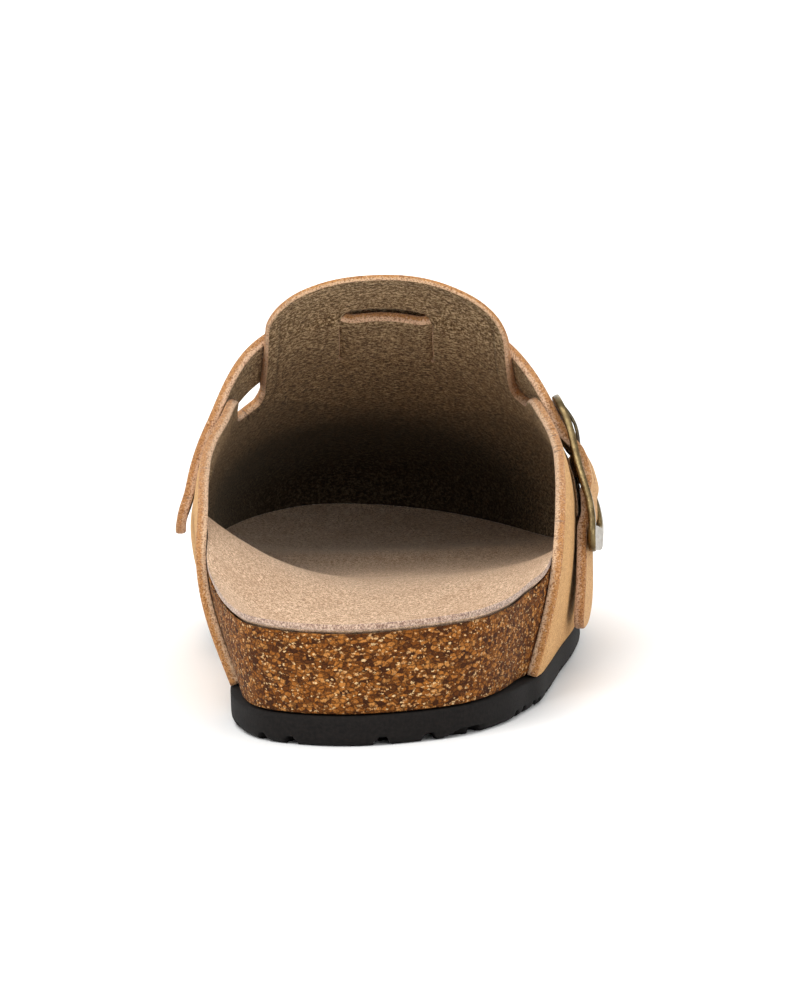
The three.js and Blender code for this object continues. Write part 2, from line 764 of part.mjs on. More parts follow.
function lathe(profile, segments) {
  const geometry = new THREE.LatheGeometry(profile, segments).toNonIndexed();
  const position = geometry.attributes.position;
  const triangles = [];
  for (let i = 0; i < position.count; i += 3) {
    triangles.push([0, 1, 2].map((k) => new THREE.Vector3().fromBufferAttribute(position, i + k)));
  }
  return triangles;
}

// Buckle: a frame of one bent plate with two windows and a low centre bar
const frameRows = [
  { along: 0, under: plateTopHeight },
  { along: bucklePlate, under: plateTopHeight },
  { along: barAlong - buckleStart - barLength / 2, under: barBottom },
  { along: barAlong - buckleStart + barLength / 2, under: barBottom },
  { along: buckleLength - bucklePlate, under: plateLowHeight },
  { along: buckleLength, under: plateLowHeight },
];

function buckleGeometry() {
  const rows = frameRows.map((row) => ({ along: row.along + buckleStart, under: row.under }));
  const path = pathThrough(rows, buckleThickness, buckleStep);
  const half = buckleWidth / 2;
  const plate = bandGeometry(path, buckleThickness, (along) => Math.min(
    roundEnd(half, buckleCornerRadius, along - buckleStart),
    roundEnd(half, buckleCornerRadius, buckleStart + buckleLength - along),
  ), bandColumns);
  const window = (from, to) => {
    const inner = half - buckleRail;
    const steps = 7;
    const middle = Array.from({ length: steps + 1 }, (_, i) => ({
      along: from + ((to - from) * i) / steps,
      up: toolDepth / 2,
    }));
    return bandGeometry(middle, 1.6 * toolDepth, (along) => Math.min(
      roundEnd(inner, windowCornerRadius, along - from),
      roundEnd(inner, windowCornerRadius, to - along),
    ), bandColumns);
  };
  return cut(
    plate,
    window(buckleStart + bucklePlate, barAlong - barLength / 2),
    window(barAlong + barLength / 2, buckleStart + buckleLength - bucklePlate),
  );
}

// Prong: hooked round the bar, up through the strap's hole, its tip on the top plate
function prongGeometry() {
  const tipHeight = plateTopHeight + buckleThickness + clearance + prongThickness / 2;
  const hookAlong = barLength / 2 + 2 * clearance + prongThickness / 2;
  const above = barTop + stackGap + prongThickness / 2;
  const path = [
    { along: barAlong + hookAlong, up: (barBottom + barTop) / 2 },
    { along: barAlong + hookAlong, up: above },
    { along: barAlong, up: above },
    { along: barAlong - barLength / 2, up: above },
    { along: barAlong - barLength / 2 - 4, up: above },
    { along: buckleStart + bucklePlate + 1, up: tipHeight },
    { along: buckleStart + 2.5, up: tipHeight },
    { along: buckleStart + 0.8, up: tipHeight },
  ];
  return bandGeometry(path, prongThickness, () => prongWidth / 2, 1);
}

// Tab: a thin strip under the strap's tail, looped round the bar and riveted to the quarter
function tabGeometry() {
  const low = stackGap + tabThickness / 2;
  const high = barTop + stackGap + tabThickness / 2;
  const side = barLength / 2 + clearance + tabThickness / 2;
  const middle = (low + high) / 2;
  const path = [
    { along: tabEnd, up: low },
    { along: tabRivetAlong, up: low },
    { along: barAlong + side, up: low },
    { along: barAlong - side, up: low },
    { along: barAlong - 1.35 * side, up: middle },
    { along: barAlong - side, up: high },
    { along: barAlong + barLength / 2, up: high },
  ];
  const strip = bandGeometry(path, tabThickness, () => tabWidth / 2, 2);
  const slot = bandGeometry(
    [{ along: barAlong - side - 3, up: middle }, { along: barAlong + side + 3, up: middle }],
    12,
    () => prongWidth / 2 + clearance,
    1,
  );
  return cut(strip, slot, rivetHole(tabRivetAlong));
}

function upperGeometry() {
  const tongue = tongueTool();
  return cut(
    shellGeometry(),
    cut(toplineTool('medial', notchEnd), tongue),
    cut(toplineTool('lateral', lateralNotchEnd), tongue),
    slitTool(slitInner),
    slitTool(slitOuter),
    rivetHole(medialRivetAlong),
    rivetHole(tabRivetAlong),
  );
}

const finishes = {
  suede: { color: 0xc8955c, roughness: 0.95, metalness: 0 },
  strap: { color: 0xcd9f6f, roughness: 0.95, metalness: 0 },
  cork: { color: 0x8a5a33, roughness: 0.55, metalness: 0 },
  lining: { color: 0xdcbd9c, roughness: 0.95, metalness: 0 },
  rubber: { color: 0x26211e, roughness: 0.8, metalness: 0 },
  bronze: { color: 0x6b5f3a, roughness: 0.4, metalness: 1 },
};

const clog = new THREE.Group();
function piece(name, geometry, finish) {
  const mesh = new THREE.Mesh(geometry, new THREE.MeshStandardMaterial(finishes[finish]));
  mesh.name = name;
  clog.add(mesh);
}

piece('outsole', outsoleGeometry(), 'rubber');
piece('footbed', footbedGeometry(), 'cork');
piece('insole', insoleGeometry(), 'lining');
piece('upper', upperGeometry(), 'suede');
piece('strap', strapGeometry(), 'strap');
piece('buckle_frame', buckleGeometry(), 'bronze');
piece('buckle_prong', prongGeometry(), 'bronze');
piece('buckle_tab', tabGeometry(), 'suede');
const strapStack = clearance + strapThickness;
piece('strap_rivet', rivetGeometry(medialRivetAlong, strapStack, strapRivetRadius, strapRivetHeight), 'bronze');
const tabStack = stackGap + tabThickness;
piece('tab_rivet', rivetGeometry(tabRivetAlong, tabStack, tabRivetRadius, tabRivetHeight), 'bronze');

// Origin at the middle of the footprint, on the floor
const box = new THREE.Box3().setFromObject(clog);
clog.position.set(-(box.min.x + box.max.x) / 2, -(box.min.y + box.max.y) / 2, -box.min.z);

export default clog;
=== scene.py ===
"""A right suede clog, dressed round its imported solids: surfaces, edges, grain and light."""

import math

import bpy
import numpy as np
from mathutils import Matrix, Vector


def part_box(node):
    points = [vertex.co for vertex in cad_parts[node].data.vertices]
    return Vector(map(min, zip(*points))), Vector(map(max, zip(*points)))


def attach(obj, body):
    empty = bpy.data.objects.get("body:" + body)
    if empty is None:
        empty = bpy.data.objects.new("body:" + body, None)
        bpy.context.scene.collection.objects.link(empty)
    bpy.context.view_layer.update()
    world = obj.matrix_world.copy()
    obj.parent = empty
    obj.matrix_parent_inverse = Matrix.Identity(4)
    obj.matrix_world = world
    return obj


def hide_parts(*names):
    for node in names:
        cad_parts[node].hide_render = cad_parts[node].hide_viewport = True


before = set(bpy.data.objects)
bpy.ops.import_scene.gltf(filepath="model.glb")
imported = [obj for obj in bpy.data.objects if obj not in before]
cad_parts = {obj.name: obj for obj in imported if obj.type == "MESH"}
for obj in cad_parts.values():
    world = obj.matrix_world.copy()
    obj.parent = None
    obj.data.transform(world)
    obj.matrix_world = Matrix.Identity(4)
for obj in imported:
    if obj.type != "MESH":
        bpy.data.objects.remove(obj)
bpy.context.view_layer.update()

MM = 0.001

# Driving dimensions in millimetres, the same as the solids'
SOLE_LENGTH = 258
BALL_WIDTH = 98.5
SOLE_THICKNESS = 7
TOE_SPRING = 5
TOE_SPRING_START = 0.72
OUTSOLE_EDGE = 2.2
TREAD_DEPTH = 2
TREAD_GROOVE = 3.4
TREAD_PITCH = 17
TREAD_WAVE = 3.2
TREAD_WAVELENGTH = 24
INSOLE_THICKNESS = 1.5
HEEL_SEAT = 34
UPPER_WALL = 2.5
INSTEP_HEIGHT = 98
TONGUE_MEDIAL = -26.5
TONGUE_LATERAL = 34.7
TONGUE_END = 114.5
TONGUE_CORNER = 9
NOTCH_END = {"medial": 167, "lateral": 154}
NOTCH_FILLET = 13
TONGUE_FLARE = {"medial": 3.4, "lateral": 1.2}
SLIT_INNER = -9.6
SLIT_OUTER = 14.2
STRAP_WIDTH = 25.5
STRAP_THICKNESS = 2.5
STRAP_CROSSING = 146.5
STRAP_LEAN = 27
STRAP_MEDIAL_REACH = 80.5
STRAP_LATERAL_REACH = 109.5
TAIL_STAND = 1.6
STRAP_END_RADIUS = 11
BUCKLE_START = 51.5
BUCKLE_LENGTH = 38
BUCKLE_WIDTH = 36
BUCKLE_RAIL = 4.2
BUCKLE_PLATE = 6
BUCKLE_THICKNESS = 1.2
PLATE_THICKNESS = 1.8
BUCKLE_CORNER = 6
PRONG_WIDTH = 2.4
PRONG_THICKNESS = 0.9
TAB_WIDTH = 19
TAB_THICKNESS = 0.5
TAB_LENGTH = 11.5
CLEARANCE = 0.3
STACK_GAP = 0.1
SPINE_TOE = SOLE_LENGTH - 52.89
INSET_START = 0.02
INSET_END = 0.175


def table(columns, *rows):
    """Named columns of a short table with a row for each section."""
    return dict(zip(columns.split(), np.array(rows, float).T))


outline_rows = table(
    "along across",
    (0.000, -0.040), (0.012, 0.100), (0.043, 0.223), (0.099, 0.315), (0.163, 0.370),
    (0.198, 0.399), (0.252, 0.420), (0.368, 0.457), (0.484, 0.497), (0.589, 0.518),
    (0.698, 0.508), (0.802, 0.437), (0.891, 0.315), (0.957, 0.142), (0.992, -0.051),
    (0.994, -0.223), (0.953, -0.355), (0.884, -0.442), (0.795, -0.477), (0.717, -0.481),
    (0.620, -0.452), (0.504, -0.396), (0.388, -0.350), (0.291, -0.335), (0.194, -0.345),
    (0.109, -0.320), (0.047, -0.254), (0.014, -0.152),
)

last_rows = table(
    "along ridge girth medial lateral",
    (0.000, 1.100, 0.24, 0.027, 0.027),
    (0.100, 1.100, 0.25, 0.032, 0.028),
    (0.230, 1.080, 0.30, 0.082, 0.049),
    (0.370, 1.015, 0.35, 0.105, 0.040),
    (0.465, 0.918, 0.32, 0.088, 0.021),
    (0.580, 0.765, 0.26, 0.064, 0.022),
    (0.700, 0.625, 0.21, 0.036, 0.025),
    (0.810, 0.520, 0.18, 0.028, 0.025),
    (0.930, 0.430, 0.16, 0.026, 0.025),
    (1.020, 0.370, 0.15, 0.026, 0.025),
)

arch_rows = table(
    "along medial lateral quarter",
    (0.00, 2.05, 2.00, 1.75),
    (0.37, 2.25, 2.18, 1.70),
    (0.45, 2.25, 2.18, 1.68),
    (0.50, 2.02, 1.88, 1.68),
    (0.58, 1.95, 1.82, 1.75),
    (0.70, 2.05, 2.00, 2.00),
    (0.81, 2.20, 2.20, 2.20),
    (1.02, 2.40, 2.40, 2.40),
)

footbed_rows = table(
    "along middle medial lateral cup",
    (0.00, 0.135, 0.217, 0.217, 3.4),
    (0.10, 0.115, 0.241, 0.228, 3.4),
    (0.18, 0.120, 0.272, 0.248, 3.2),
    (0.25, 0.132, 0.325, 0.275, 2.8),
    (0.37, 0.158, 0.360, 0.252, 2.1),
    (0.47, 0.150, 0.320, 0.205, 2.2),
    (0.58, 0.122, 0.235, 0.178, 2.8),
    (0.68, 0.114, 0.178, 0.156, 3.2),
    (0.75, 0.126, 0.165, 0.148, 3.4),
    (0.84, 0.108, 0.157, 0.137, 3.4),
    (1.00, 0.108, 0.148, 0.130, 3.4),
)

topline_rows = table(
    "along medial lateral",
    (0.180, -0.060, -0.060),
    (0.190, 0.040, 0.040),
    (0.200, 0.120, 0.120),
    (0.218, 0.215, 0.215),
    (0.243, 0.305, 0.303),
    (0.280, 0.385, 0.382),
    (0.335, 0.460, 0.453),
    (0.400, 0.535, 0.522),
    (0.455, 0.595, 0.577),
    (0.485, 0.620, 0.600),
    (0.505, 0.618, 0.600),
    (0.530, 0.590, 0.588),
    (0.570, 0.560, 0.572),
    (0.610, 0.535, 0.565),
)


def smooth(low, high, value):
    t = np.clip((value - low) / (high - low), 0, 1)
    return t * t * (3 - 2 * t)


def lerp(a, b, t):
    return a + (b - a) * t


def column(rows, name, place):
    """Value of one column at a place, smooth between the rows."""
    x, v = rows["along"], rows[name]
    place = np.clip(place, x[0], x[-1])
    i = np.clip(np.searchsorted(x, place) - 1, 0, len(x) - 2)
    before = np.maximum(i - 1, 0)
    after = np.minimum(i + 2, len(x) - 1)
    step = x[i + 1] - x[i]
    t = (place - x[i]) / step
    leave = (v[i + 1] - v[before]) / (x[i + 1] - x[before]) * step
    arrive = (v[after] - v[i]) / (x[after] - x[i]) * step
    return (
        (2 * t**3 - 3 * t**2 + 1) * v[i]
        + (t**3 - 2 * t**2 + t) * leave
        + (3 * t**2 - 2 * t**3) * v[i + 1]
        + (t**3 - t**2) * arrive
    )


def spline(points, steps, closed):
    """Centripetal curve through points, with steps points to each stretch."""
    count = len(points)
    made = []
    for i in range(count if closed else count - 1):
        if closed:
            p = [points[(i + k) % count] for k in (-1, 0, 1, 2)]
        else:
            p = [points[min(max(i + k, 0), count - 1)] for k in (-1, 0, 1, 2)]
        d = [max(np.linalg.norm(p[k + 1] - p[k]) ** 0.5, 1e-4) for k in range(3)]
        if np.allclose(p[0], p[1]):
            d[0] = d[1]
        if np.allclose(p[2], p[3]):
            d[2] = d[1]
        leave = ((p[1] - p[0]) / d[0] - (p[2] - p[0]) / (d[0] + d[1]) + (p[2] - p[1]) / d[1]) * d[1]
        arrive = ((p[2] - p[1]) / d[1] - (p[3] - p[1]) / (d[1] + d[2]) + (p[3] - p[2]) / d[2]) * d[1]
        for t in np.arange(steps) / steps:
            made.append(
                p[1] + leave * t + (-3 * p[1] + 3 * p[2] - 2 * leave - arrive) * t**2
                + (2 * p[1] - 2 * p[2] + leave + arrive) * t**3
            )
    if not closed:
        made.append(points[-1])
    return np.array(made)


outline = spline(
    np.stack([outline_rows["across"] * BALL_WIDTH, outline_rows["along"] * SOLE_LENGTH], 1), 24, True
)

# The solids' frame has its origin in the middle of the whole part, so the difference is read there
outsole_low, outsole_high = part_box("outsole")
ORIGIN = np.array([
    (outsole_low.x + outsole_high.x) / 2 / MM - (outline[:, 0].min() + outline[:, 0].max()) / 2,
    (outsole_low.y + outsole_high.y) / 2 / MM - (outline[:, 1].min() + outline[:, 1].max()) / 2,
    0,
])


def spine_across(y):
    return BALL_WIDTH * (0.022 - 0.1 * np.maximum(0, y / SOLE_LENGTH - 0.465))


class Stations:
    """Places round the shoe: a start on the spine, a level direction and the way to the outline."""

    def __init__(self, y, angle):
        y, angle = np.broadcast_arrays(np.asarray(y, float), np.asarray(angle, float))
        self.start = np.stack([spine_across(y), y], -1)
        self.direction = np.stack([np.cos(angle), np.sin(angle)], -1)
        a = outline - self.start[..., None, :]
        b = np.roll(outline, -1, 0) - self.start[..., None, :]
        dx, dy = self.direction[..., 0, None], self.direction[..., 1, None]
        side_a = dx * a[..., 1] - dy * a[..., 0]
        side_b = dx * b[..., 1] - dy * b[..., 0]
        crossing = (side_a * side_b <= 0) & (side_a != side_b)
        t = side_a / np.where(crossing, side_a - side_b, 1)
        far = dx * lerp(a[..., 0], b[..., 0], t) + dy * lerp(a[..., 1], b[..., 1], t)
        self.length = np.where(crossing, far, 0).max(-1)
        self.y = y + self.direction[..., 1] * self.length

    @classmethod
    def beside(cls, y, lateral):
        """Stations straight out to one side, read from a table."""
        part = object.__new__(cls)
        sign = np.where(lateral, 1.0, -1.0)
        part.start = np.stack([spine_across(y), y], -1)
        part.direction = np.stack(np.broadcast_arrays(sign, np.zeros(np.shape(y))), -1)
        part.length = np.interp(y, side_places, side_lengths[bool(np.all(lateral))])
        part.y = y
        return part

    def __getitem__(self, key):
        part = object.__new__(Stations)
        part.start = self.start[key]
        part.direction = self.direction[key]
        part.length = self.length[key]
        part.y = self.y[key]
        return part

    def at(self, distance, z):
        flat = self.start + self.direction * distance[..., None]
        return np.concatenate([flat, np.broadcast_to(z, flat.shape[:-1])[..., None]], -1)


side_places = np.arange(HEEL_SEAT, SPINE_TOE + 1, 0.5)
side_lengths = {side: Stations(side_places, 0.0 if side else math.pi).length for side in (True, False)}


def side_column(rows, place, medial="medial", lateral="lateral"):
    share = 0.5 - 0.5 * place.direction[..., 0]
    along = place.y / SOLE_LENGTH
    return lerp(column(rows, lateral, along), column(rows, medial, along), share)


def spring(y):
    share = (y / SOLE_LENGTH - TOE_SPRING_START) / (1 - TOE_SPRING_START)
    return TOE_SPRING * np.maximum(0, share) ** 2


def ridge_height(y):
    return SOLE_THICKNESS + spring(y) + INSTEP_HEIGHT * column(last_rows, "ridge", y / SOLE_LENGTH)


def girth_above(place):
    return INSTEP_HEIGHT * column(last_rows, "girth", place.y / SOLE_LENGTH)


def last_point(place, level, inset=0.0):
    """Point of the last: level is -1 at the outsole, 0 at the girth and 1 at the ridge."""
    base = SOLE_THICKNESS + CLEARANCE + spring(place.y)
    girth = base + girth_above(place)
    flare = BALL_WIDTH * side_column(last_rows, place)
    low = np.minimum(level, 0)
    out_low = place.length + flare * np.sin((1 + low) * math.pi / 2) - inset
    over = side_column(arch_rows, place)
    quarter = column(arch_rows, "quarter", place.y / SOLE_LENGTH)
    angle = np.clip(level, 0, 1) * math.pi / 2
    exponent = 2 / lerp(quarter, over, smooth(0.3, 0.6, level))
    out_high = (place.length + flare - inset) * np.maximum(0, np.cos(angle)) ** exponent
    y_high = place.start[..., 1] + place.direction[..., 1] * out_high
    slope = (ridge_height(y_high + 1) - ridge_height(y_high - 1)) / 2
    top = ridge_height(y_high) - inset * np.hypot(1, slope)
    z_high = girth + (top - girth) * np.sin(angle) ** exponent
    below = level < 0
    return place.at(np.where(below, out_low, out_high), np.where(below, lerp(base, girth, 1 + low), z_high))


def footbed_inset(y):
    return lerp(CLEARANCE, UPPER_WALL + CLEARANCE, smooth(INSET_START, INSET_END, y / SOLE_LENGTH))


def footbed_rim(place):
    return SOLE_THICKNESS + spring(place.y) + BALL_WIDTH * side_column(footbed_rows, place)


def footbed_side(place, height):
    base = SOLE_THICKNESS + CLEARANCE + spring(place.y)
    level = np.minimum(0, (height - base) / girth_above(place) - 1)
    point = last_point(place, level, footbed_inset(place.y))
    point[..., 2] = height
    return point


def floor_point(place, share, under):
    rim = footbed_side(place, footbed_rim(place) - under)
    flat = lerp(place.start, rim[..., :2], share[..., None])
    along = flat[..., 1] / SOLE_LENGTH
    middle = SOLE_THICKNESS + spring(flat[..., 1]) + BALL_WIDTH * column(footbed_rows, "middle", along)
    z = middle + (footbed_rim(place) - middle) * share ** column(footbed_rows, "cup", along) - under
    return np.concatenate([flat, z[..., None]], -1)


def round_stations(sides, toe, heel):
    """Stations up the medial side, round the toe, down the lateral side and, if heel, round the heel."""
    y = np.linspace(HEEL_SEAT, SPINE_TOE, sides + 1)
    turn = np.arange(1, toe) / toe
    ys = [y, np.full(toe - 1, SPINE_TOE), y[::-1]]
    angles = [np.full(sides + 1, math.pi), math.pi * (1 - turn), np.zeros(sides + 1)]
    if heel:
        ys.append(np.full(heel - 1, float(HEEL_SEAT)))
        angles.append(-math.pi * np.arange(1, heel) / heel)
    return Stations(np.concatenate(ys), np.concatenate(angles))


# Smooth, repeatable value noise for the small unevenness of real skins
noise_lattice = np.random.default_rng(7).random((32, 32, 32))


def value_noise(points, size):
    """Noise of -1 to 1 whose lumps are about size millimetres across."""
    p = points / size + 100
    cell = np.floor(p).astype(int)
    f = p - cell
    f = f * f * (3 - 2 * f)
    total = 0
    for corner in np.ndindex(2, 2, 2):
        index = (cell + corner) % 32
        weight = np.prod(np.where(corner, f, 1 - f), axis=-1)
        total = total + noise_lattice[index[..., 0], index[..., 1], index[..., 2]] * weight
    return 2 * total - 1


def vertex_normals(points, triangles):
    a, b, c = (points[triangles[:, k]] for k in range(3))
    face = np.cross(b - a, c - a)
    total = np.zeros_like(points)
    for k in range(3):
        np.add.at(total, triangles[:, k], face)
    return total / np.maximum(np.linalg.norm(total, axis=1, keepdims=True), 1e-12)


def welded(points, triangles):
    """The same skin with corners at one place merged and collapsed faces dropped."""
    _, first, inverse = np.unique(np.round(points, 4), axis=0, return_index=True, return_inverse=True)
    inverse = inverse.reshape(-1)
    triangles = inverse[triangles]
    a, b, c = triangles.T
    return first, triangles[(a != b) & (b != c) & (c != a)]


def grid_triangles(rows, columns, wrap_rows=False):
    i, j = np.meshgrid(np.arange(rows if wrap_rows else rows - 1), np.arange(columns - 1), indexing="ij")
    k = (i + 1) % rows
    a, b, c, d = i * columns + j, k * columns + j, k * columns + j + 1, i * columns + j + 1
    return np.concatenate([
        np.stack([a, b, c], -1).reshape(-1, 3),
        np.stack([a, c, d], -1).reshape(-1, 3),
    ])


def trimmed(points, triangles, beyond):
    """The skin where beyond is negative, cut along its zero line."""
    points = list(points)
    kept_all = (beyond[triangles] < 0).all(1)
    mixed = triangles[~kept_all & (beyond[triangles] < 0).any(1)]
    faces = triangles[kept_all].tolist()
    seams = {}

    def seam(a, b):
        key = (min(a, b), max(a, b))
        if key not in seams:
            t = np.clip(beyond[key[0]] / (beyond[key[0]] - beyond[key[1]]), 0.02, 0.98)
            points.append(lerp(points[key[0]], points[key[1]], t))
            seams[key] = len(points) - 1
        return seams[key]

    for face in mixed.tolist():
        ring = []
        for k in range(3):
            a, b = face[k], face[(k + 1) % 3]
            if beyond[a] < 0:
                ring.append(a)
            if (beyond[a] < 0) != (beyond[b] < 0):
                ring.append(seam(a, b))
        faces.extend([ring[0], ring[k], ring[k + 1]] for k in range(1, len(ring) - 1))
    faces = np.array(faces)
    used, inverse = np.unique(faces, return_inverse=True)
    return np.array(points)[used], inverse.reshape(-1, 3)


def open_edges(triangles):
    """Edges that only one face uses, in that face's direction."""
    edges = np.concatenate([triangles[:, [0, 1]], triangles[:, [1, 2]], triangles[:, [2, 0]]])
    key = np.sort(edges, 1)
    _, first, counts = np.unique(key, axis=0, return_index=True, return_counts=True)
    return edges[first[counts == 1]]


# Round profile of a cut edge: share of the way through the thickness, and swell in millimetres
EDGE_PROFILE = ((0.06, 0.22), (0.2, 0.42), (0.4, 0.5), (0.6, 0.5), (0.8, 0.42), (0.94, 0.22))


def thick_skin(middle, triangles, above, below, swell=1.0, ragged=0.0, normal=None):
    """Closed solid with an outer face, an inner face and rounded edges between them.

    Returns its points, its triangles, a material index for each triangle (0 outer, 1 edge, 2 inner)
    and for each point the share of the way through the thickness.
    """
    if normal is None:
        normal = vertex_normals(middle, triangles)
    count = len(middle)
    outer = middle + normal * np.reshape(above, (-1, 1))
    inner = middle - normal * np.reshape(below, (-1, 1))
    edges = open_edges(triangles)
    rim = np.unique(edges)
    slot = {v: k for k, v in enumerate(rim.tolist())}
    away = np.zeros_like(middle)
    run = middle[edges[:, 1]] - middle[edges[:, 0]]
    for side in (0, 1):
        np.add.at(away, edges[:, side], np.cross(run, normal[edges[:, side]]))
    away = away[rim] / np.maximum(np.linalg.norm(away[rim], axis=1, keepdims=True), 1e-9)
    rings = [outer[rim]]
    depth = [np.zeros(count), np.ones(count)]
    for share, out in EDGE_PROFILE:
        place = lerp(outer[rim], inner[rim], share)
        size = out * swell + ragged * value_noise(place, 0.9)
        rings.append(place + away * np.asarray(size).reshape(-1, 1))
        depth.append(np.full(len(rim), share))
    points = np.concatenate([outer, inner, *rings[1:]])
    faces = [triangles, triangles[:, ::-1] + count]
    kinds = [np.zeros(len(triangles), int), np.full(len(triangles), 2)]
    a = np.array([slot[v] for v in edges[:, 0].tolist()])
    b = np.array([slot[v] for v in edges[:, 1].tolist()])
    between = [2 * count + k * len(rim) + np.arange(len(rim)) for k in range(len(rings) - 1)]
    starts = [rim, *between, rim + count]
    for upper, lower in zip(starts, starts[1:]):
        faces.append(np.stack([upper[a], lower[a], lower[b]], 1))
        faces.append(np.stack([upper[a], lower[b], upper[b]], 1))
        kinds.extend([np.ones(len(a), int)] * 2)
    return points, np.concatenate(faces), np.concatenate(kinds), np.concatenate(depth)


def make_piece(name, points, triangles, materials, kinds=None, **layers):
    """A Blender object from points in millimetres of the shoe's own frame, with named numbers for each."""
    mesh = bpy.data.meshes.new(name)
    placed = (np.asarray(points) + ORIGIN) * MM
    mesh.vertices.add(len(placed))
    mesh.vertices.foreach_set("co", placed.astype(np.float32).ravel())
    mesh.loops.add(3 * len(triangles))
    mesh.loops.foreach_set("vertex_index", np.asarray(triangles, np.int32).ravel())
    mesh.polygons.add(len(triangles))
    mesh.polygons.foreach_set("loop_start", np.arange(0, 3 * len(triangles), 3, dtype=np.int32))
    mesh.polygons.foreach_set("use_smooth", np.ones(len(triangles), bool))
    for material in materials:
        mesh.materials.append(material)
    if kinds is not None:
        mesh.polygons.foreach_set("material_index", np.asarray(kinds, np.int32))
    for key, values in layers.items():
        layer = mesh.attributes.new(key, "FLOAT", "POINT")
        layer.data.foreach_set("value", np.asarray(values, np.float32))
    mesh.update(calc_edges=True)
    mesh.validate()
    piece = bpy.data.objects.new(name, mesh)
    bpy.context.scene.collection.objects.link(piece)
    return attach(piece, "root")


def segment_distance(p, polygon):
    """Distance of points to a polygon, negative inside."""
    a = polygon
    b = np.roll(polygon, -1, 0)
    best = np.full(p.shape[:-1], 1e9)
    inside = np.zeros(p.shape[:-1], bool)
    for k in range(len(a)):
        run = b[k] - a[k]
        t = np.clip(((p - a[k]) @ run) / max(run @ run, 1e-12), 0, 1)
        best = np.minimum(best, np.linalg.norm(p - (a[k] + t[..., None] * run), axis=-1))
        straddles = (a[k][1] > p[..., 1]) != (b[k][1] > p[..., 1])
        with np.errstate(divide="ignore", invalid="ignore"):
            x = a[k][0] + (p[..., 1] - a[k][1]) * run[0] / (run[1] if run[1] else 1e-12)
        inside ^= straddles & (p[..., 0] < x)
    return np.where(inside, -best, best)


BEND_STEPS = 10


def arc(cx, cy, radius, start, end):
    angle = np.radians(np.linspace(start, end, BEND_STEPS + 1))
    return np.stack([cx + radius * np.cos(angle), cy + radius * np.sin(angle)], 1)


def bezier(a, b, c):
    t = np.linspace(0, 1, BEND_STEPS + 1)[:, None]
    a, b, c = np.array(a, float), np.array(b, float), np.array(c, float)
    return (1 - t) ** 2 * a + 2 * t * (1 - t) * b + t**2 * c


def topline(side):
    """Outline, in the side view, of all that is cut away behind and above the quarter."""
    end = NOTCH_END[side]
    along = topline_rows["along"] * SOLE_LENGTH
    up = SOLE_THICKNESS + topline_rows[side] * INSTEP_HEIGHT
    used = along < end - NOTCH_FILLET
    bend = spline(np.stack([along[used], up[used]], 1), 8, False)
    low = bend[-1]
    corner = bezier(low, (end, low[1] - 0.3 * NOTCH_FILLET), (end, low[1] + 1.2 * NOTCH_FILLET))
    high = 2 * INSTEP_HEIGHT
    far = [(end, high), (-SOLE_LENGTH, high), (-SOLE_LENGTH, bend[0][1])]
    return np.concatenate([bend, corner[1:], far])


def tongue_plan():
    left, right, r, f = TONGUE_MEDIAL, TONGUE_LATERAL, TONGUE_CORNER, NOTCH_FILLET
    medial, lateral = NOTCH_END["medial"], NOTCH_END["lateral"]
    low_left = left - TONGUE_FLARE["medial"]
    low_right = right + TONGUE_FLARE["lateral"]
    front = max(medial, lateral) + 3 * f
    return np.concatenate([
        [(low_left - f, front)],
        bezier((low_left - f, medial), (low_left, medial), (low_left, medial - f)),
        arc(left + r, TONGUE_END + r, r, 180, 270),
        arc(right - r, TONGUE_END + r, r, 270, 360),
        bezier((low_right, lateral - f), (low_right, lateral), (low_right + f, lateral)),
        [(low_right + f, front)],
    ])


# The strap's own axes: along it to the lateral side, across it to the toe, and up from the last
lean = math.radians(STRAP_LEAN)
across_axis = np.array([0, math.cos(lean), -math.sin(lean)])
strap_origin = np.array([0, STRAP_CROSSING, float(ridge_height(np.float64(STRAP_CROSSING)))])
STRAP_AXIS_STEP = 0.8
LEVEL_STEPS = 90


def crossing_point(lateral, level, across):
    level, across = np.broadcast_arrays(level, across)
    low = np.full(level.shape, float(HEEL_SEAT))
    high = np.full(level.shape, float(SPINE_TOE))
    for _ in range(22):
        middle = (low + high) / 2
        point = last_point(Stations.beside(middle, lateral), level)
        over = (point - strap_origin) @ across_axis > across
        high = np.where(over, middle, high)
        low = np.where(over, low, middle)
    return point


def level_table(lateral):
    level = 1 - 2 * np.arange(LEVEL_STEPS + 1) / LEVEL_STEPS
    point = crossing_point(lateral, level, np.zeros(LEVEL_STEPS + 1))
    along = np.concatenate([[0], np.cumsum(np.linalg.norm(np.diff(point, axis=0), axis=1))])
    return along, level


level_tables = {True: level_table(True), False: level_table(False)}


def on_last(along, across):
    """Points of the last's surface at places along and across the strap."""
    along, across = np.broadcast_arrays(np.asarray(along, float), np.asarray(across, float))
    flat, wide = along.ravel(), across.ravel()
    points = np.zeros((flat.size, 3))
    for lateral in (True, False):
        here = (flat >= 0) == lateral
        if here.any():
            reach, levels = level_tables[lateral]
            points[here] = crossing_point(lateral, np.interp(np.abs(flat[here]), reach, levels), wide[here])
    return points.reshape(along.shape + (3,))


def last_grid(along, across):
    """Surface points and outward normals on a grid of the strap's own axes."""
    a, c = np.meshgrid(along, across, indexing="ij")
    point = on_last(a, c)
    run = on_last(a + STRAP_AXIS_STEP, c) - on_last(a - STRAP_AXIS_STEP, c)
    spread = on_last(a, c + STRAP_AXIS_STEP) - on_last(a, c - STRAP_AXIS_STEP)
    normal = np.cross(run, spread)
    return a, c, point, normal / np.linalg.norm(normal, axis=-1, keepdims=True)


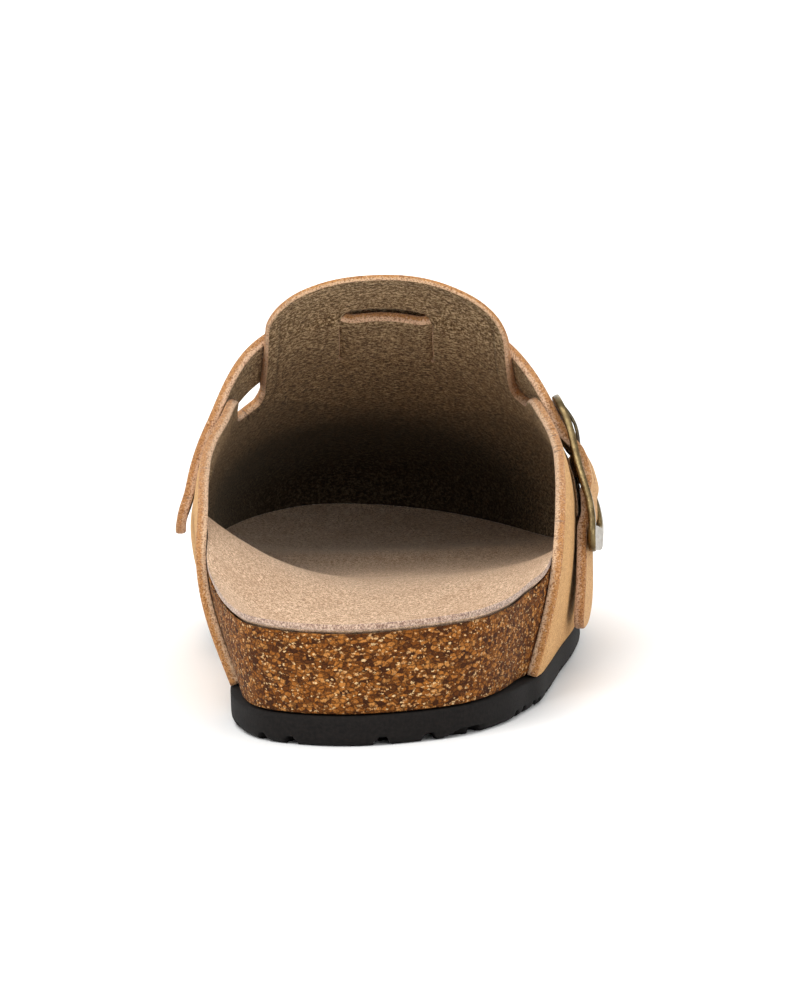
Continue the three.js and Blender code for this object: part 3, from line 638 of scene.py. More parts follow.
def blurred(values, passes):
    """Values of a grid's rows, evened out lengthwise."""
    for _ in range(passes):
        padded = np.concatenate([values[:1], values, values[-1:]])
        values = (padded[:-2] + 2 * padded[1:-1] + padded[2:]) / 4
    return values


def heights(rows, along, thickness):
    """Height of a band's middle over the last at each place along it."""
    x, v = rows["along"], rows["under"]
    i = np.clip(np.searchsorted(x, along) - 1, 0, len(x) - 2)
    return lerp(v[i], v[i + 1], smooth(x[i], x[i + 1], along)) + thickness / 2


# Fit of the photograph's camera: angles in degrees, lengths in millimetres
CAMERA_AZIMUTH = -1.22
CAMERA_ELEVATION = 6.54
CAMERA_ROLL = -1.88
CAMERA_DISTANCE = 1048.1
CAMERA_TARGET = np.array([6.46, 100, 44.2])
CAMERA_LENS = 152.7
CAMERA_SENSOR = 36


def make_camera():
    data = bpy.data.cameras.new("camera")
    data.sensor_fit = "AUTO"
    data.sensor_width = CAMERA_SENSOR
    data.lens = CAMERA_LENS
    data.clip_start = 0.05
    camera = bpy.data.objects.new("camera", data)
    bpy.context.scene.collection.objects.link(camera)
    a, e, r = (math.radians(v) for v in (CAMERA_AZIMUTH, CAMERA_ELEVATION, CAMERA_ROLL))
    ahead = np.array([math.sin(a) * math.cos(e), math.cos(a) * math.cos(e), -math.sin(e)])
    right = np.array([math.cos(a), -math.sin(a), 0])
    up = np.cross(right, ahead)
    turned_right = right * math.cos(r) + up * math.sin(r)
    turned_up = up * math.cos(r) - right * math.sin(r)
    place = (CAMERA_TARGET + ORIGIN - ahead * CAMERA_DISTANCE) * MM
    camera.matrix_world = Matrix((
        (turned_right[0], turned_up[0], -ahead[0], place[0]),
        (turned_right[1], turned_up[1], -ahead[1], place[1]),
        (turned_right[2], turned_up[2], -ahead[2], place[2]),
        (0, 0, 0, 1),
    ))
    bpy.context.scene.camera = camera


make_camera()


def tone(*screen):
    """Linear colour from screen values of 0 to 255."""
    shares = [value / 255 for value in screen]
    linear = [v / 12.92 if v <= 0.04045 else ((v + 0.055) / 1.055) ** 2.4 for v in shares]
    return (*linear, 1.0)


# Sockets of the colour mix node
MIX_AMOUNT = 0
MIX_FIRST = 6
MIX_SECOND = 7
MIX_RESULT = 2


class Skin:
    """A material under construction, its textures laid out in millimetres of the shoe."""

    def __init__(self, name, specular=0.5, **sockets):
        self.material = bpy.data.materials.new(name)
        self.material.use_nodes = True
        self.nodes = self.material.node_tree.nodes
        self.links = self.material.node_tree.links
        self.shader = self.nodes["Principled BSDF"]
        self.shader.inputs["Specular IOR Level"].default_value = specular
        self.feed(self.shader, **sockets)
        self.place = self.node("ShaderNodeTexCoord").outputs["Object"]

    def node(self, kind, **settings):
        made = self.nodes.new(kind)
        for key, value in settings.items():
            setattr(made, key, value)
        return made

    def plug(self, socket, value):
        """Links a socket to another one or sets its number."""
        if isinstance(value, bpy.types.NodeSocket):
            self.links.new(value, socket)
        else:
            socket.default_value = value

    def feed(self, node, **sockets):
        for key, value in sockets.items():
            self.plug(node.inputs[key.replace("_", " ")], value)
        return node

    def scaled(self, x=1.0, y=1.0, z=1.0, turn=0.0):
        """Object coordinates in millimetres, stretched along an axis where its factor is small."""
        made = self.node("ShaderNodeMapping")
        turned = (0, 0, math.radians(turn))
        self.feed(made, Vector=self.place, Scale=(x / MM, y / MM, z / MM), Rotation=turned)
        return made.outputs["Vector"]

    def noise(self, size, detail, roughness, vector=None):
        made = self.node("ShaderNodeTexNoise")
        self.feed(made, Vector=vector or self.scaled(), Scale=1 / size, Detail=detail, Roughness=roughness)
        return made.outputs["Fac"]

    def cells(self, size, vector, feature="F1"):
        made = self.node("ShaderNodeTexVoronoi", feature=feature)
        self.feed(made, Vector=vector, Scale=1 / size)
        return made.outputs

    def ramp(self, value, *stops):
        made = self.node("ShaderNodeValToRGB")
        elements = made.color_ramp.elements
        while len(elements) < len(stops):
            elements.new(0.5)
        for element, (position, colour) in zip(elements, stops):
            element.position = position
            element.color = colour
        self.links.new(value, made.inputs["Fac"])
        return made.outputs["Color"]

    def mix(self, amount, a, b):
        made = self.node("ShaderNodeMix", data_type="RGBA")
        for index, value in ((MIX_AMOUNT, amount), (MIX_FIRST, a), (MIX_SECOND, b)):
            self.plug(made.inputs[index], value)
        return made.outputs[MIX_RESULT]

    def worked(self, way, a, b):
        made = self.node("ShaderNodeMath", operation=way)
        self.plug(made.inputs[0], a)
        self.plug(made.inputs[1], b)
        return made.outputs[0]

    def sum(self, a, b):
        return self.worked("ADD", a, b)

    def less(self, a, b):
        return self.worked("SUBTRACT", a, b)

    def times(self, a, b):
        return self.worked("MULTIPLY", a, b)

    def blend(self, coarse, fine, share):
        """Two grains in one, with share of the coarse one."""
        return self.sum(self.times(coarse, share), self.times(fine, 1 - share))

    def spread(self, value, low, high, to_low=0.0, to_high=1.0):
        made = self.node("ShaderNodeMapRange", interpolation_type="SMOOTHSTEP")
        self.feed(made, Value=value, From_Min=low, From_Max=high, To_Min=to_low, To_Max=to_high)
        return made.outputs["Result"]

    def channel(self, colour, index=0):
        made = self.node("ShaderNodeSeparateColor")
        self.links.new(colour, made.inputs[0])
        return made.outputs[index]

    def own(self, name):
        """A number that the piece's points carry."""
        return self.node("ShaderNodeAttribute", attribute_name=name).outputs["Fac"]

    def paint(self, colour):
        self.links.new(colour, self.shader.inputs["Base Color"])

    def relief(self, height, depth, strength):
        bump = self.node("ShaderNodeBump")
        self.feed(bump, Height=height, Distance=depth * MM, Strength=strength)
        self.links.new(bump.outputs["Normal"], self.shader.inputs["Normal"])
        return self.material


def suede(name, dark, middle, light):
    """Napped outer face: short fibres with a fine speckle and soft clouds where they lie another way."""
    skin = Skin(name, specular=0.2, Roughness=0.95)
    skin.feed(skin.shader, Sheen_Weight=0.3, Sheen_Roughness=0.5, Sheen_Tint=tone(255, 222, 172))
    nap = skin.noise(0.9, 5, 0.75)
    specks = skin.noise(0.32, 2, 0.6)
    grain = skin.blend(nap, specks, 0.6)
    colour = skin.ramp(skin.spread(grain, 0.38, 0.63), (0.0, dark), (0.45, middle), (1.0, light))
    clouds = skin.spread(skin.noise(15, 4, 0.6), 0.35, 0.7)
    colour = skin.mix(skin.times(clouds, 0.22), colour, dark)
    skin.paint(colour)
    return skin.relief(grain, 0.4, 0.8)


def suede_edge(name, outer, inner, speck):
    """Cut edge of the leather: speckled brown towards the outer face and pale towards the inner one."""
    skin = Skin(name, specular=0.2, Roughness=0.95, Sheen_Weight=0.2, Sheen_Roughness=0.5)
    fibres = skin.noise(0.55, 5, 0.75)
    depth = skin.sum(skin.own("depth"), skin.times(skin.sum(fibres, -0.5), 1.3))
    base = skin.ramp(skin.spread(depth, 0.42, 0.7), (0.0, outer), (1.0, inner))
    dots = skin.spread(skin.noise(0.42, 3, 0.6), 0.48, 0.62)
    base = skin.mix(skin.times(dots, 0.8), base, speck)
    lights = skin.spread(skin.noise(0.5, 3, 0.6, skin.scaled(1, 1, 1, 50)), 0.56, 0.68)
    skin.paint(skin.mix(skin.times(lights, 0.6), base, tone(236, 204, 166)))
    return skin.relief(fibres, 0.5, 0.9)


def lining_skin():
    """Flesh side of the leather inside the upper, with short fibres and pale flecks."""
    skin = Skin("lining", specular=0.2, Roughness=0.92)
    skin.feed(skin.shader, Sheen_Weight=0.25, Sheen_Roughness=0.4, Sheen_Tint=tone(220, 200, 170))
    across = skin.noise(0.8, 5, 0.8, skin.scaled(0.62, 1, 1.2, 12))
    down = skin.noise(0.6, 4, 0.75, skin.scaled(1.1, 0.8, 0.8, -25))
    grain = skin.blend(across, down, 0.65)
    colour = skin.ramp(
        skin.spread(grain, 0.42, 0.59),
        (0.0, tone(60, 45, 28)), (0.5, tone(118, 94, 65)), (1.0, tone(204, 181, 144)),
    )
    flecks = skin.spread(skin.noise(0.45, 3, 0.6, skin.scaled(0.55, 1, 1, 30)), 0.62, 0.72)
    colour = skin.mix(skin.times(flecks, 0.5), colour, tone(210, 188, 152))
    border = skin.own("border")
    pressed = skin.less(skin.spread(border, 2.5, 2.9), skin.spread(border, 3.1, 3.5))
    colour = skin.mix(skin.times(pressed, 0.45), colour, tone(58, 43, 27))
    # Painted shade: the lining is darkened towards near black where its points carry painted shade, deep in
    # the toe
    shaded = skin.times(skin.own("shade"), 0.86)
    skin.paint(skin.mix(shaded, colour, tone(17, 9, 3)))
    return skin.relief(skin.sum(grain, skin.times(pressed, -0.6)), 0.4, 0.8)


def insole_skin():
    skin = Skin("insole_suede", specular=0.2, Roughness=0.95)
    skin.feed(skin.shader, Sheen_Weight=0.35, Sheen_Roughness=0.4, Sheen_Tint=tone(255, 236, 214))
    nap = skin.noise(0.8, 5, 0.78)
    specks = skin.noise(0.35, 2, 0.6)
    grain = skin.blend(nap, specks, 0.55)
    colour = skin.ramp(
        skin.spread(grain, 0.42, 0.59),
        (0.0, tone(146, 112, 83)), (0.5, tone(200, 165, 132)), (1.0, tone(244, 216, 186)),
    )
    clouds = skin.spread(skin.noise(12, 4, 0.65), 0.4, 0.68)
    colour = skin.mix(skin.times(clouds, 0.3), colour, tone(168, 130, 98))
    # Painted shade: the insole is darkened towards the toe where its points carry painted shade
    shaded = skin.times(skin.own("shade"), 0.35)
    skin.paint(skin.mix(shaded, colour, tone(58, 38, 24)))
    return skin.relief(grain, 0.4, 0.8)


def insole_edge_skin():
    skin = Skin("insole_edge", Roughness=0.95, Sheen_Weight=0.3, Sheen_Roughness=0.5)
    fibres = skin.noise(0.5, 5, 0.75)
    skin.paint(skin.ramp(
        skin.spread(fibres, 0.36, 0.64),
        (0.0, tone(112, 82, 68)), (0.45, tone(168, 134, 112)), (1.0, tone(222, 196, 172)),
    ))
    return skin.relief(fibres, 0.5, 0.9)


def cork_skin():
    """Pressed cork, dull: brown granules in a dark binder, with scattered pale chips."""
    skin = Skin("cork", specular=0.12, Roughness=0.8)
    wander = skin.node("ShaderNodeTexNoise")
    skin.feed(wander, Vector=skin.scaled(), Scale=1.6, Detail=3.0, Roughness=0.65)
    shift = skin.node("ShaderNodeVectorMath", operation="MULTIPLY_ADD")
    skin.links.new(wander.outputs["Color"], shift.inputs[0])
    shift.inputs[1].default_value = (1.1, 1.1, 1.1)
    skin.links.new(skin.scaled(0.8, 0.8, 1.3), shift.inputs[2])
    bent = shift.outputs[0]
    granule = 1.25
    grains = skin.cells(granule, bent)
    base = skin.ramp(
        skin.channel(grains["Color"]),
        (0.0, tone(62, 31, 9)), (0.3, tone(104, 57, 17)), (0.6, tone(142, 84, 30)),
        (0.85, tone(170, 107, 46)), (1.0, tone(184, 126, 66)),
    )
    gaps = skin.cells(granule, bent, "DISTANCE_TO_EDGE")["Distance"]
    base = skin.mix(skin.spread(gaps, 0.0, 0.2, 0.75, 0.0), base, tone(44, 21, 7))
    for size, low, strength in ((0.95, 0.88, 0.85), (0.6, 0.78, 0.95)):
        bits = skin.cells(size, bent)
        chips = skin.spread(skin.channel(bits["Color"], 1), low, low + 0.02)
        inside = skin.spread(bits["Distance"], 0.36, 0.46, strength, 0.0)
        blue = skin.channel(bits["Color"], 2)
        pale = skin.ramp(blue, (0.0, tone(168, 106, 48)), (1.0, tone(238, 202, 148)))
        base = skin.mix(skin.times(chips, inside), base, pale)
    grit = skin.noise(0.6, 4, 0.75)
    base = skin.mix(skin.spread(grit, 0.38, 0.52, 0.65, 0.0), base, tone(46, 22, 8))
    skin.paint(base)
    return skin.relief(skin.sum(skin.spread(gaps, 0.0, 0.2), grit), 0.25, 0.6)


def rubber_skin():
    skin = Skin("outsole_rubber", specular=0.18, Roughness=0.85)
    grain = skin.noise(0.8, 4, 0.65)
    skin.paint(skin.ramp(skin.spread(grain, 0.3, 0.7), (0.0, tone(13, 11, 10)), (1.0, tone(25, 21, 19))))
    return skin.relief(grain, 0.12, 0.5)


def bronze_skin(name, dark, light):
    skin = Skin(name, Metallic=1.0)
    worn = skin.noise(2.6, 4, 0.65)
    skin.paint(skin.ramp(skin.spread(worn, 0.35, 0.7), (0.0, dark), (1.0, light)))
    skin.links.new(
        skin.spread(skin.noise(1.1, 3, 0.6), 0.3, 0.7, 0.24, 0.4),
        skin.shader.inputs["Roughness"],
    )
    return skin.relief(skin.noise(2.5, 2, 0.5), 0.01, 0.2)


suede_outside = suede("upper_suede", tone(146, 98, 50), tone(190, 139, 82), tone(219, 174, 117))
strap_outside = suede("strap_suede", tone(150, 104, 62), tone(194, 146, 98), tone(220, 180, 134))
upper_edge = suede_edge("upper_edge", tone(184, 130, 76), tone(212, 176, 140), tone(118, 70, 34))
strap_edge = suede_edge("strap_edge", tone(182, 130, 80), tone(214, 178, 146), tone(118, 70, 36))
lining = lining_skin()
insole_top = insole_skin()
insole_rim = insole_edge_skin()
cork = cork_skin()
rubber = rubber_skin()
bronze = bronze_skin("bronze", tone(92, 78, 54), tone(122, 106, 74))
dark_metal = bronze_skin("dark_metal", tone(62, 57, 50), tone(104, 92, 68))


# Resolution of the fine skins
SIDE_STEPS = 150
TOE_STEPS = 90
WALL_LEVELS = 16
ARCH_LEVELS = 86

# Shape of the tongue round the strap: its middle lifted over it, its sides pressed in beside it
MIDDLE_LIFT = 1.7
SIDE_PRESS = 1.6
PRESS_REACH = 9
SLIT_WIDTH = 2.6
TONGUE_WALL = 1.5
HALF_STRAP = STRAP_WIDTH / 2

# Height between which the leather thins to the tongue's wall, and the slow waves of its skin
SKIVE_START = 62
SKIVE_END = 92
SKIN_WAVE = 0.35
SKIN_WAVE_SIZE = 19
BORDER_REACH = 12

def strap_places(place, levels, points):
    """The strap's own coordinates of the upper's points."""
    lateral = place.direction[..., 0] > 0
    reach = {}
    for side in (True, False):
        along, level = level_tables[side]
        reach[side] = np.interp(-levels, -level, along)
    along = np.where(lateral, reach[True], -reach[False])
    return np.broadcast_to(along, points.shape[:-1]), (points - strap_origin) @ across_axis


def leather_lift(along, across):
    """How far the tongue's leather stands out, or in, where the strap threads it."""
    wide = smooth(HALF_STRAP - 3, HALF_STRAP + 5, np.abs(across))
    turn = 1.3 + 4 * wide
    middle = smooth(SLIT_INNER - turn, SLIT_INNER + turn, along)
    middle *= 1 - smooth(SLIT_OUTER - turn, SLIT_OUTER + turn, along)
    near = 1 - smooth(HALF_STRAP - 0.5, HALF_STRAP + 3.5, np.abs(across))
    beyond = np.maximum(np.maximum(SLIT_INNER - along, along - SLIT_OUTER), 0)
    press = np.exp(-((beyond / PRESS_REACH) ** 2))
    return near * lerp(-SIDE_PRESS * press, MIDDLE_LIFT, middle)


def box_distance(x, y, low, high, half, radius):
    """Distance to a rectangle with round corners, negative inside."""
    qx = np.abs(x - (low + high) / 2) - ((high - low) / 2 - radius)
    qy = np.abs(y) - (half - radius)
    return np.hypot(np.maximum(qx, 0), np.maximum(qy, 0)) + np.minimum(np.maximum(qx, qy), 0) - radius


def upper_beyond(points, along, across):
    """How far points lie beyond the leather, and how far inside its long edges, in millimetres."""
    side_view = points[..., 1:]
    gone = {side: -segment_distance(side_view, topline(side)) for side in ("medial", "lateral")}
    cut_back = np.where(points[..., 0] < 0, gone["medial"], gone["lateral"])
    spared = -segment_distance(points[..., :2], tongue_plan())
    border = field = np.minimum(cut_back, -spared)
    for slit in (SLIT_INNER, SLIT_OUTER):
        low, high = slit - SLIT_WIDTH / 2, slit + SLIT_WIDTH / 2
        opening = -box_distance(along, across, low, high, HALF_STRAP + 0.5, 1)
        field = np.maximum(field, np.where(points[..., 2] > INSTEP_HEIGHT / 2, opening, -9))
    return field, -border


def toe_box_shade_line(x):
    """Edge of the painted shade at the toe box, where its lining is also darker, further back at the sides.
    """
    return np.maximum(207 - 0.036 * (x - 5) ** 2, 140)


def shade_line(x):
    """Place along the shoe where the painted shade on the lining begins, a little further back at the sides.
    """
    return 208 - 0.005 * (x - 5) ** 2


def make_upper():
    place = round_stations(SIDE_STEPS, TOE_STEPS, 0)[:, None]
    levels = np.concatenate([np.linspace(-1, 0, WALL_LEVELS)[:-1], np.linspace(0, 1, ARCH_LEVELS)])[None, :]
    points = last_point(place, levels)
    along, across = strap_places(place, levels, points)
    beyond, border = upper_beyond(points, along, across)
    wave = SKIN_WAVE * value_noise(points, SKIN_WAVE_SIZE) * smooth(30, 60, points[..., 2])
    lift = leather_lift(along, across) + wave
    rows, columns = beyond.shape
    flat = points.reshape(-1, 3)
    faces = grid_triangles(rows, columns)[:, ::-1]
    first, faces = welded(flat, faces)
    flat = flat[first] + vertex_normals(flat[first], faces) * lift.reshape(-1, 1)[first]
    # Painted shade deep in the toe: a sharp step at the toe box's edge and a soft fall into the dark beyond
    # it
    shade = 0.3 * smooth(-1.5, 1.5, points[..., 1] - toe_box_shade_line(points[..., 0]))
    shade += 0.7 * smooth(-4, 26, points[..., 1] - shade_line(points[..., 0]))
    numbers = np.stack([np.clip(border, -BORDER_REACH, BORDER_REACH), shade], -1).reshape(-1, 2)[first]
    carried, faces = trimmed(np.concatenate([flat, numbers], 1), faces, beyond.reshape(-1)[first])
    skived = smooth(SKIVE_START, SKIVE_END, carried[:, 2])
    points, faces, kinds, depth = thick_skin(
        carried[:, :3], faces, 0.0, lerp(UPPER_WALL, TONGUE_WALL, skived), 0.75, 0.14
    )
    border, shade = np.zeros(len(points)), np.zeros(len(points))
    for layer, numbers in ((border, carried[:, 3]), (shade, carried[:, 4])):
        layer[: len(carried)] = numbers
        layer[len(carried): 2 * len(carried)] = numbers
    upper = make_piece(
        "upper_leather", points, faces, (suede_outside, upper_edge, lining), kinds,
        depth=depth, border=border, shade=shade,
    )
    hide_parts("upper")


BAR_LENGTH = 3.6
bar_along = BUCKLE_START + 17.86
bar_bottom = 2 * STACK_GAP + TAB_THICKNESS
bar_top = bar_bottom + BUCKLE_THICKNESS
hump_height = bar_top + 2 * STACK_GAP + TAB_THICKNESS
tab_end = bar_along + TAB_LENGTH
tab_rivet_along = tab_end - 3.4
tail_height = 3 * STACK_GAP + TAB_THICKNESS + 0.4
plate_top = STRAP_THICKNESS + CLEARANCE + 0.15
plate_low = plate_top + 0.5
rail_waist = bar_bottom + 0.9
buckle_end = BUCKLE_START + BUCKLE_LENGTH
medial_rivet_along = 15 - STRAP_MEDIAL_REACH
inside_under = MIDDLE_LIFT - UPPER_WALL - 0.25 - STRAP_THICKNESS
beside_under = 0.25 - SIDE_PRESS

strap_rows = table(
    "along under",
    (-STRAP_MEDIAL_REACH, CLEARANCE + 2),
    (10 - STRAP_MEDIAL_REACH, CLEARANCE),
    (SLIT_INNER - 16, CLEARANCE),
    (SLIT_INNER - 2, beside_under),
    (SLIT_INNER + 3, inside_under),
    (SLIT_OUTER - 3, inside_under),
    (SLIT_OUTER + 2, beside_under),
    (SLIT_OUTER + 16, CLEARANCE),
    (BUCKLE_START - 8, 0.15),
    (BUCKLE_START + BUCKLE_PLATE + 2.5, 0.15),
    (bar_along - BAR_LENGTH / 2 - 0.8, hump_height),
    (bar_along + BAR_LENGTH / 2 + 2, hump_height),
    (tab_rivet_along - 2.4, tail_height + CLEARANCE),
    (tab_end, tail_height + 0.3),
    (buckle_end - BUCKLE_PLATE, CLEARANCE + 0.2),
    (STRAP_LATERAL_REACH, CLEARANCE + TAIL_STAND),
)


def band(name, along, half, height, beyond, thickness, materials, swell, ragged=0.0, evened=0):
    """Sheet laid over the last, trimmed to its plan. height and thickness are functions of the place."""
    across = np.linspace(-half - 1.2, half + 1.2, 2 * int(half / 0.8) + 3)
    a, c, point, normal = last_grid(along, across)
    middle = point + normal * height(a, c)[..., None]
    if evened:
        middle = blurred(middle, evened)
    thick = np.broadcast_to(thickness(a, c), a.shape).reshape(-1, 1)
    faces = grid_triangles(len(along), len(across))
    middle = middle.reshape(-1, 3)
    carried = np.concatenate([middle, thick, vertex_normals(middle, faces)], 1)
    carried, faces = trimmed(carried, faces, beyond(a, c).ravel())
    half_thick = carried[:, 3] / 2
    normal = carried[:, 4:] / np.linalg.norm(carried[:, 4:], axis=1, keepdims=True)
    skin = thick_skin(carried[:, :3], faces, half_thick, half_thick, swell, ragged, normal)
    return make_piece(name, *skin[:2], materials, skin[2], depth=skin[3])


def make_strap():
    along = np.arange(-STRAP_MEDIAL_REACH - 2, STRAP_LATERAL_REACH + 2, 0.8)
    hole_start = BUCKLE_START + BUCKLE_PLATE + 1
    hole_end = bar_along + BAR_LENGTH / 2 + 1.8

    def plan(a, c):
        edge = box_distance(a, c, -STRAP_MEDIAL_REACH, STRAP_LATERAL_REACH, HALF_STRAP, STRAP_END_RADIUS)
        hole = -box_distance(a, c, hole_start, hole_end, PRONG_WIDTH / 2 + 0.6, 1.2)
        return np.maximum(edge, hole)

    strap = band(
        "strap_leather", along, HALF_STRAP, lambda a, c: heights(strap_rows, a, STRAP_THICKNESS), plan,
        lambda a, c: STRAP_THICKNESS, (strap_outside, strap_edge, lining), 0.9, 0.12, 2,
    )
    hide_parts("strap")


rail_rows = table(
    "along under",
    (BUCKLE_START, plate_top),
    (BUCKLE_START + BUCKLE_PLATE - 2, plate_top),
    (bar_along, rail_waist),
    (buckle_end - BUCKLE_PLATE, plate_low),
    (buckle_end, plate_low + 0.2),
)


def make_buckle():
    half = BUCKLE_WIDTH / 2
    along = np.arange(BUCKLE_START - 1, buckle_end + 1, 0.5)

    def railing(a, c):
        """0 on the centre bar and 1 on the plates and rails."""
        rail = smooth(half - BUCKLE_RAIL - 1.4, half - BUCKLE_RAIL + 0.8, np.abs(c))
        return np.maximum(rail, smooth(BAR_LENGTH / 2 + 1, BAR_LENGTH / 2 + 4, np.abs(a - bar_along)))

    def thickness(a, c):
        return lerp(BUCKLE_THICKNESS, PLATE_THICKNESS, railing(a, c))

    def height(a, c):
        rail = heights(rail_rows, a, PLATE_THICKNESS)
        return lerp(bar_bottom + BUCKLE_THICKNESS / 2, rail, railing(a, c))

    def plan(a, c):
        edge = box_distance(a, c, BUCKLE_START, buckle_end, half, BUCKLE_CORNER)
        spans = (
            (BUCKLE_START + BUCKLE_PLATE, bar_along - BAR_LENGTH / 2),
            (bar_along + BAR_LENGTH / 2, buckle_end - BUCKLE_PLATE),
        )
        for low, high in spans:
            edge = np.maximum(edge, -box_distance(a, c, low, high, half - BUCKLE_RAIL, 2))
        return edge

    buckle = band(
        "buckle_plate", along, half, height, plan, thickness, (bronze,), 0.5, 0, 1,
    )
    buckle.data.polygons.foreach_set("material_index", np.zeros(len(buckle.data.polygons), np.int32))
    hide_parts("buckle_frame")


def swept(name, path, width, height, material, sides=14):
    """Rounded bar along a path of (along, up) pairs over the last."""
    path = spline(np.array(path, float), 6, False)
    a, up = path.T
    _, _, point, normal = last_grid(a, np.array([0.0]))
    centre = point[:, 0] + normal[:, 0] * up[:, None]
    run = np.gradient(centre, axis=0)
    run /= np.linalg.norm(run, axis=1, keepdims=True)
    spread = np.cross(normal[:, 0], run)
    spread /= np.linalg.norm(spread, axis=1, keepdims=True)
    lift = np.cross(run, spread)
    turn = 2 * math.pi * np.arange(sides) / sides
    ends = np.clip(np.minimum(np.arange(len(a)), np.arange(len(a))[::-1]) / 4, 0, 1)
    size = np.sqrt(1 - (1 - ends) ** 2)[:, None, None]
    cos, sin = (np.sign(f(turn)) * np.abs(f(turn)) ** 0.7 for f in (np.cos, np.sin))
    rings = centre[:, None] + size * (
        cos[None, :, None] * spread[:, None] * width / 2 + sin[None, :, None] * lift[:, None] * height / 2
    )
    points = rings.transpose(1, 0, 2).reshape(-1, 3)
    faces = grid_triangles(sides, len(a), True)
    first, faces = welded(points, faces)
    return make_piece(name, points[first], faces, (material,))


def make_prong():
    tip = plate_top + PLATE_THICKNESS + 0.1 + PRONG_THICKNESS / 2
    above = bar_top + STACK_GAP + PRONG_THICKNESS / 2
    hook = BAR_LENGTH / 2 + 2 * CLEARANCE + PRONG_THICKNESS / 2
    path = (
        (bar_along + hook, (bar_bottom + bar_top) / 2),
        (bar_along + hook, above),
        (bar_along, above),
        (bar_along - BAR_LENGTH / 2, above),
        (BUCKLE_START + BUCKLE_PLATE + 0.5, tip),
        (BUCKLE_START + 2.5, tip),
        (BUCKLE_START + 0.6, tip - 0.2),
    )
    prong = swept("buckle_pin", path, PRONG_WIDTH, PRONG_THICKNESS, dark_metal)
    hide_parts("buckle_prong")


def make_tab():
    """Thin leather loop that holds the bar to the quarter."""
    low = STACK_GAP + TAB_THICKNESS / 2
    high = bar_top + STACK_GAP + TAB_THICKNESS / 2
    side = BAR_LENGTH / 2 + CLEARANCE + TAB_THICKNESS / 2
    path = spline(np.array([
        (tab_end, low),
        (tab_rivet_along, low),
        (bar_along + side, low),
        (bar_along - side, low),
        (bar_along - 1.35 * side, (low + high) / 2),
        (bar_along - side, high),
        (bar_along + BAR_LENGTH / 2, high),
    ]), 6, False)
    across = np.linspace(-TAB_WIDTH / 2, TAB_WIDTH / 2, 19)
    rings = []
    for side_across in across:
        _, _, point, normal = last_grid(path[:, 0], np.array([side_across]))
        rings.append(point[:, 0] + normal[:, 0] * path[:, 1, None])
    middle = np.stack(rings, 1)
    faces = grid_triangles(len(path), len(across))
    rows, columns = middle.shape[:2]
    spared = np.abs(np.broadcast_to(across, (rows, columns))).ravel() < PRONG_WIDTH
    ahead = np.broadcast_to(path[:, 0, None] < bar_along + side + 2, (rows, columns)).ravel()
    faces = faces[~(spared & ahead)[faces].any(1)]
    used, faces = np.unique(faces, return_inverse=True)
    flat = middle.reshape(-1, 3)[used]
    skin = thick_skin(flat, faces.reshape(-1, 3), TAB_THICKNESS / 2, TAB_THICKNESS / 2, 0.4)
    tab = make_piece("buckle_loop", *skin[:2], (suede_outside, upper_edge, lining), skin[2], depth=skin[3])
    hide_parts("buckle_tab")


RIVET_SUNK = 0.55
RIVET_SHANK = 1.2
RIVET_MIDDLE = 0.001


def make_rivet(name, node, along, stack, radius, height):
    _, _, point, normal = last_grid(np.array([along]), np.array([0.0]))
    out = normal[0, 0]
    side = np.cross(out, (0, 1, 0))
    side /= np.linalg.norm(side)
    ahead = np.cross(out, side)
    inside = RIVET_SUNK - UPPER_WALL
    dome = [
        (radius * math.cos(t), stack + 0.25 * height + 0.75 * height * math.sin(t))
        for t in np.linspace(0, math.pi / 2, 8)[:-1]
    ]
    profile = [
        (RIVET_MIDDLE, inside - 0.7), (radius - 0.3, inside - 0.7), (radius, inside - 0.45),
        (radius, inside - 0.1), (radius - 0.2, inside), (RIVET_SHANK, inside), (RIVET_SHANK, stack),
        (radius - 0.15, stack), *dome, (RIVET_MIDDLE, stack + height),
    ]
    segments = 32
    turn = 2 * math.pi * np.arange(segments) / segments
    rings = np.array([
        [point[0, 0] + r * (side * math.cos(t) + ahead * math.sin(t)) + out * h for t in turn]
        for r, h in profile
    ])
    points = rings.transpose(1, 0, 2).reshape(-1, 3)
    first, faces = welded(points, grid_triangles(segments, len(profile), True))
    faces = faces[:, ::-1]
    covered = ((points[first][faces].mean(1) - point[0, 0]) @ out < inside + 0.05).astype(int)
    rivet = make_piece(name, points[first], faces, (bronze, lining), covered)
    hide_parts(node)


def ring_skin(rings):
    """Closed skin through rings of points, the first and the last ring shrunk to a line."""
    points = np.array(rings).transpose(1, 0, 2)
    faces = grid_triangles(points.shape[0], points.shape[1], True)
    first, welded_faces = welded(points.reshape(-1, 3), faces)
    return points.reshape(-1, 3)[first], welded_faces


def outward(points, faces):
    a, b, c = (points[faces[:, k]] for k in range(3))
    volume = np.einsum("ij,ij->i", a, np.cross(b, c)).sum()
    return faces if volume > 0 else faces[:, ::-1]


ALL_STATIONS = round_stations(110, 80, 72)


def make_footbed():
    place = ALL_STATIONS
    under = INSOLE_THICKNESS + CLEARANCE
    base = SOLE_THICKNESS + CLEARANCE + spring(place.y)
    reach = place.length - footbed_inset(place.y)
    rings = [place.at(reach * share, base) for share in (0.0, 0.5, 0.97)]
    for level in np.linspace(0.02, 0.94, 14):
        rings.append(footbed_side(place, lerp(base, footbed_rim(place) - under, level)))
    for share in (1.0, 0.985, 0.96, 0.92, 0.86, 0.78, 0.68, 0.56, 0.42, 0.28, 0.14, 0.0):
        point = floor_point(place, np.full(place.y.shape, share), under)
        point[:, 2] -= 0.5 * smooth(0.97, 1.0, share)
        rings.append(point)
    points, faces = ring_skin(rings)
    footbed = make_piece("cork_footbed", points, outward(points, faces), (cork,))
    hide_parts("footbed")


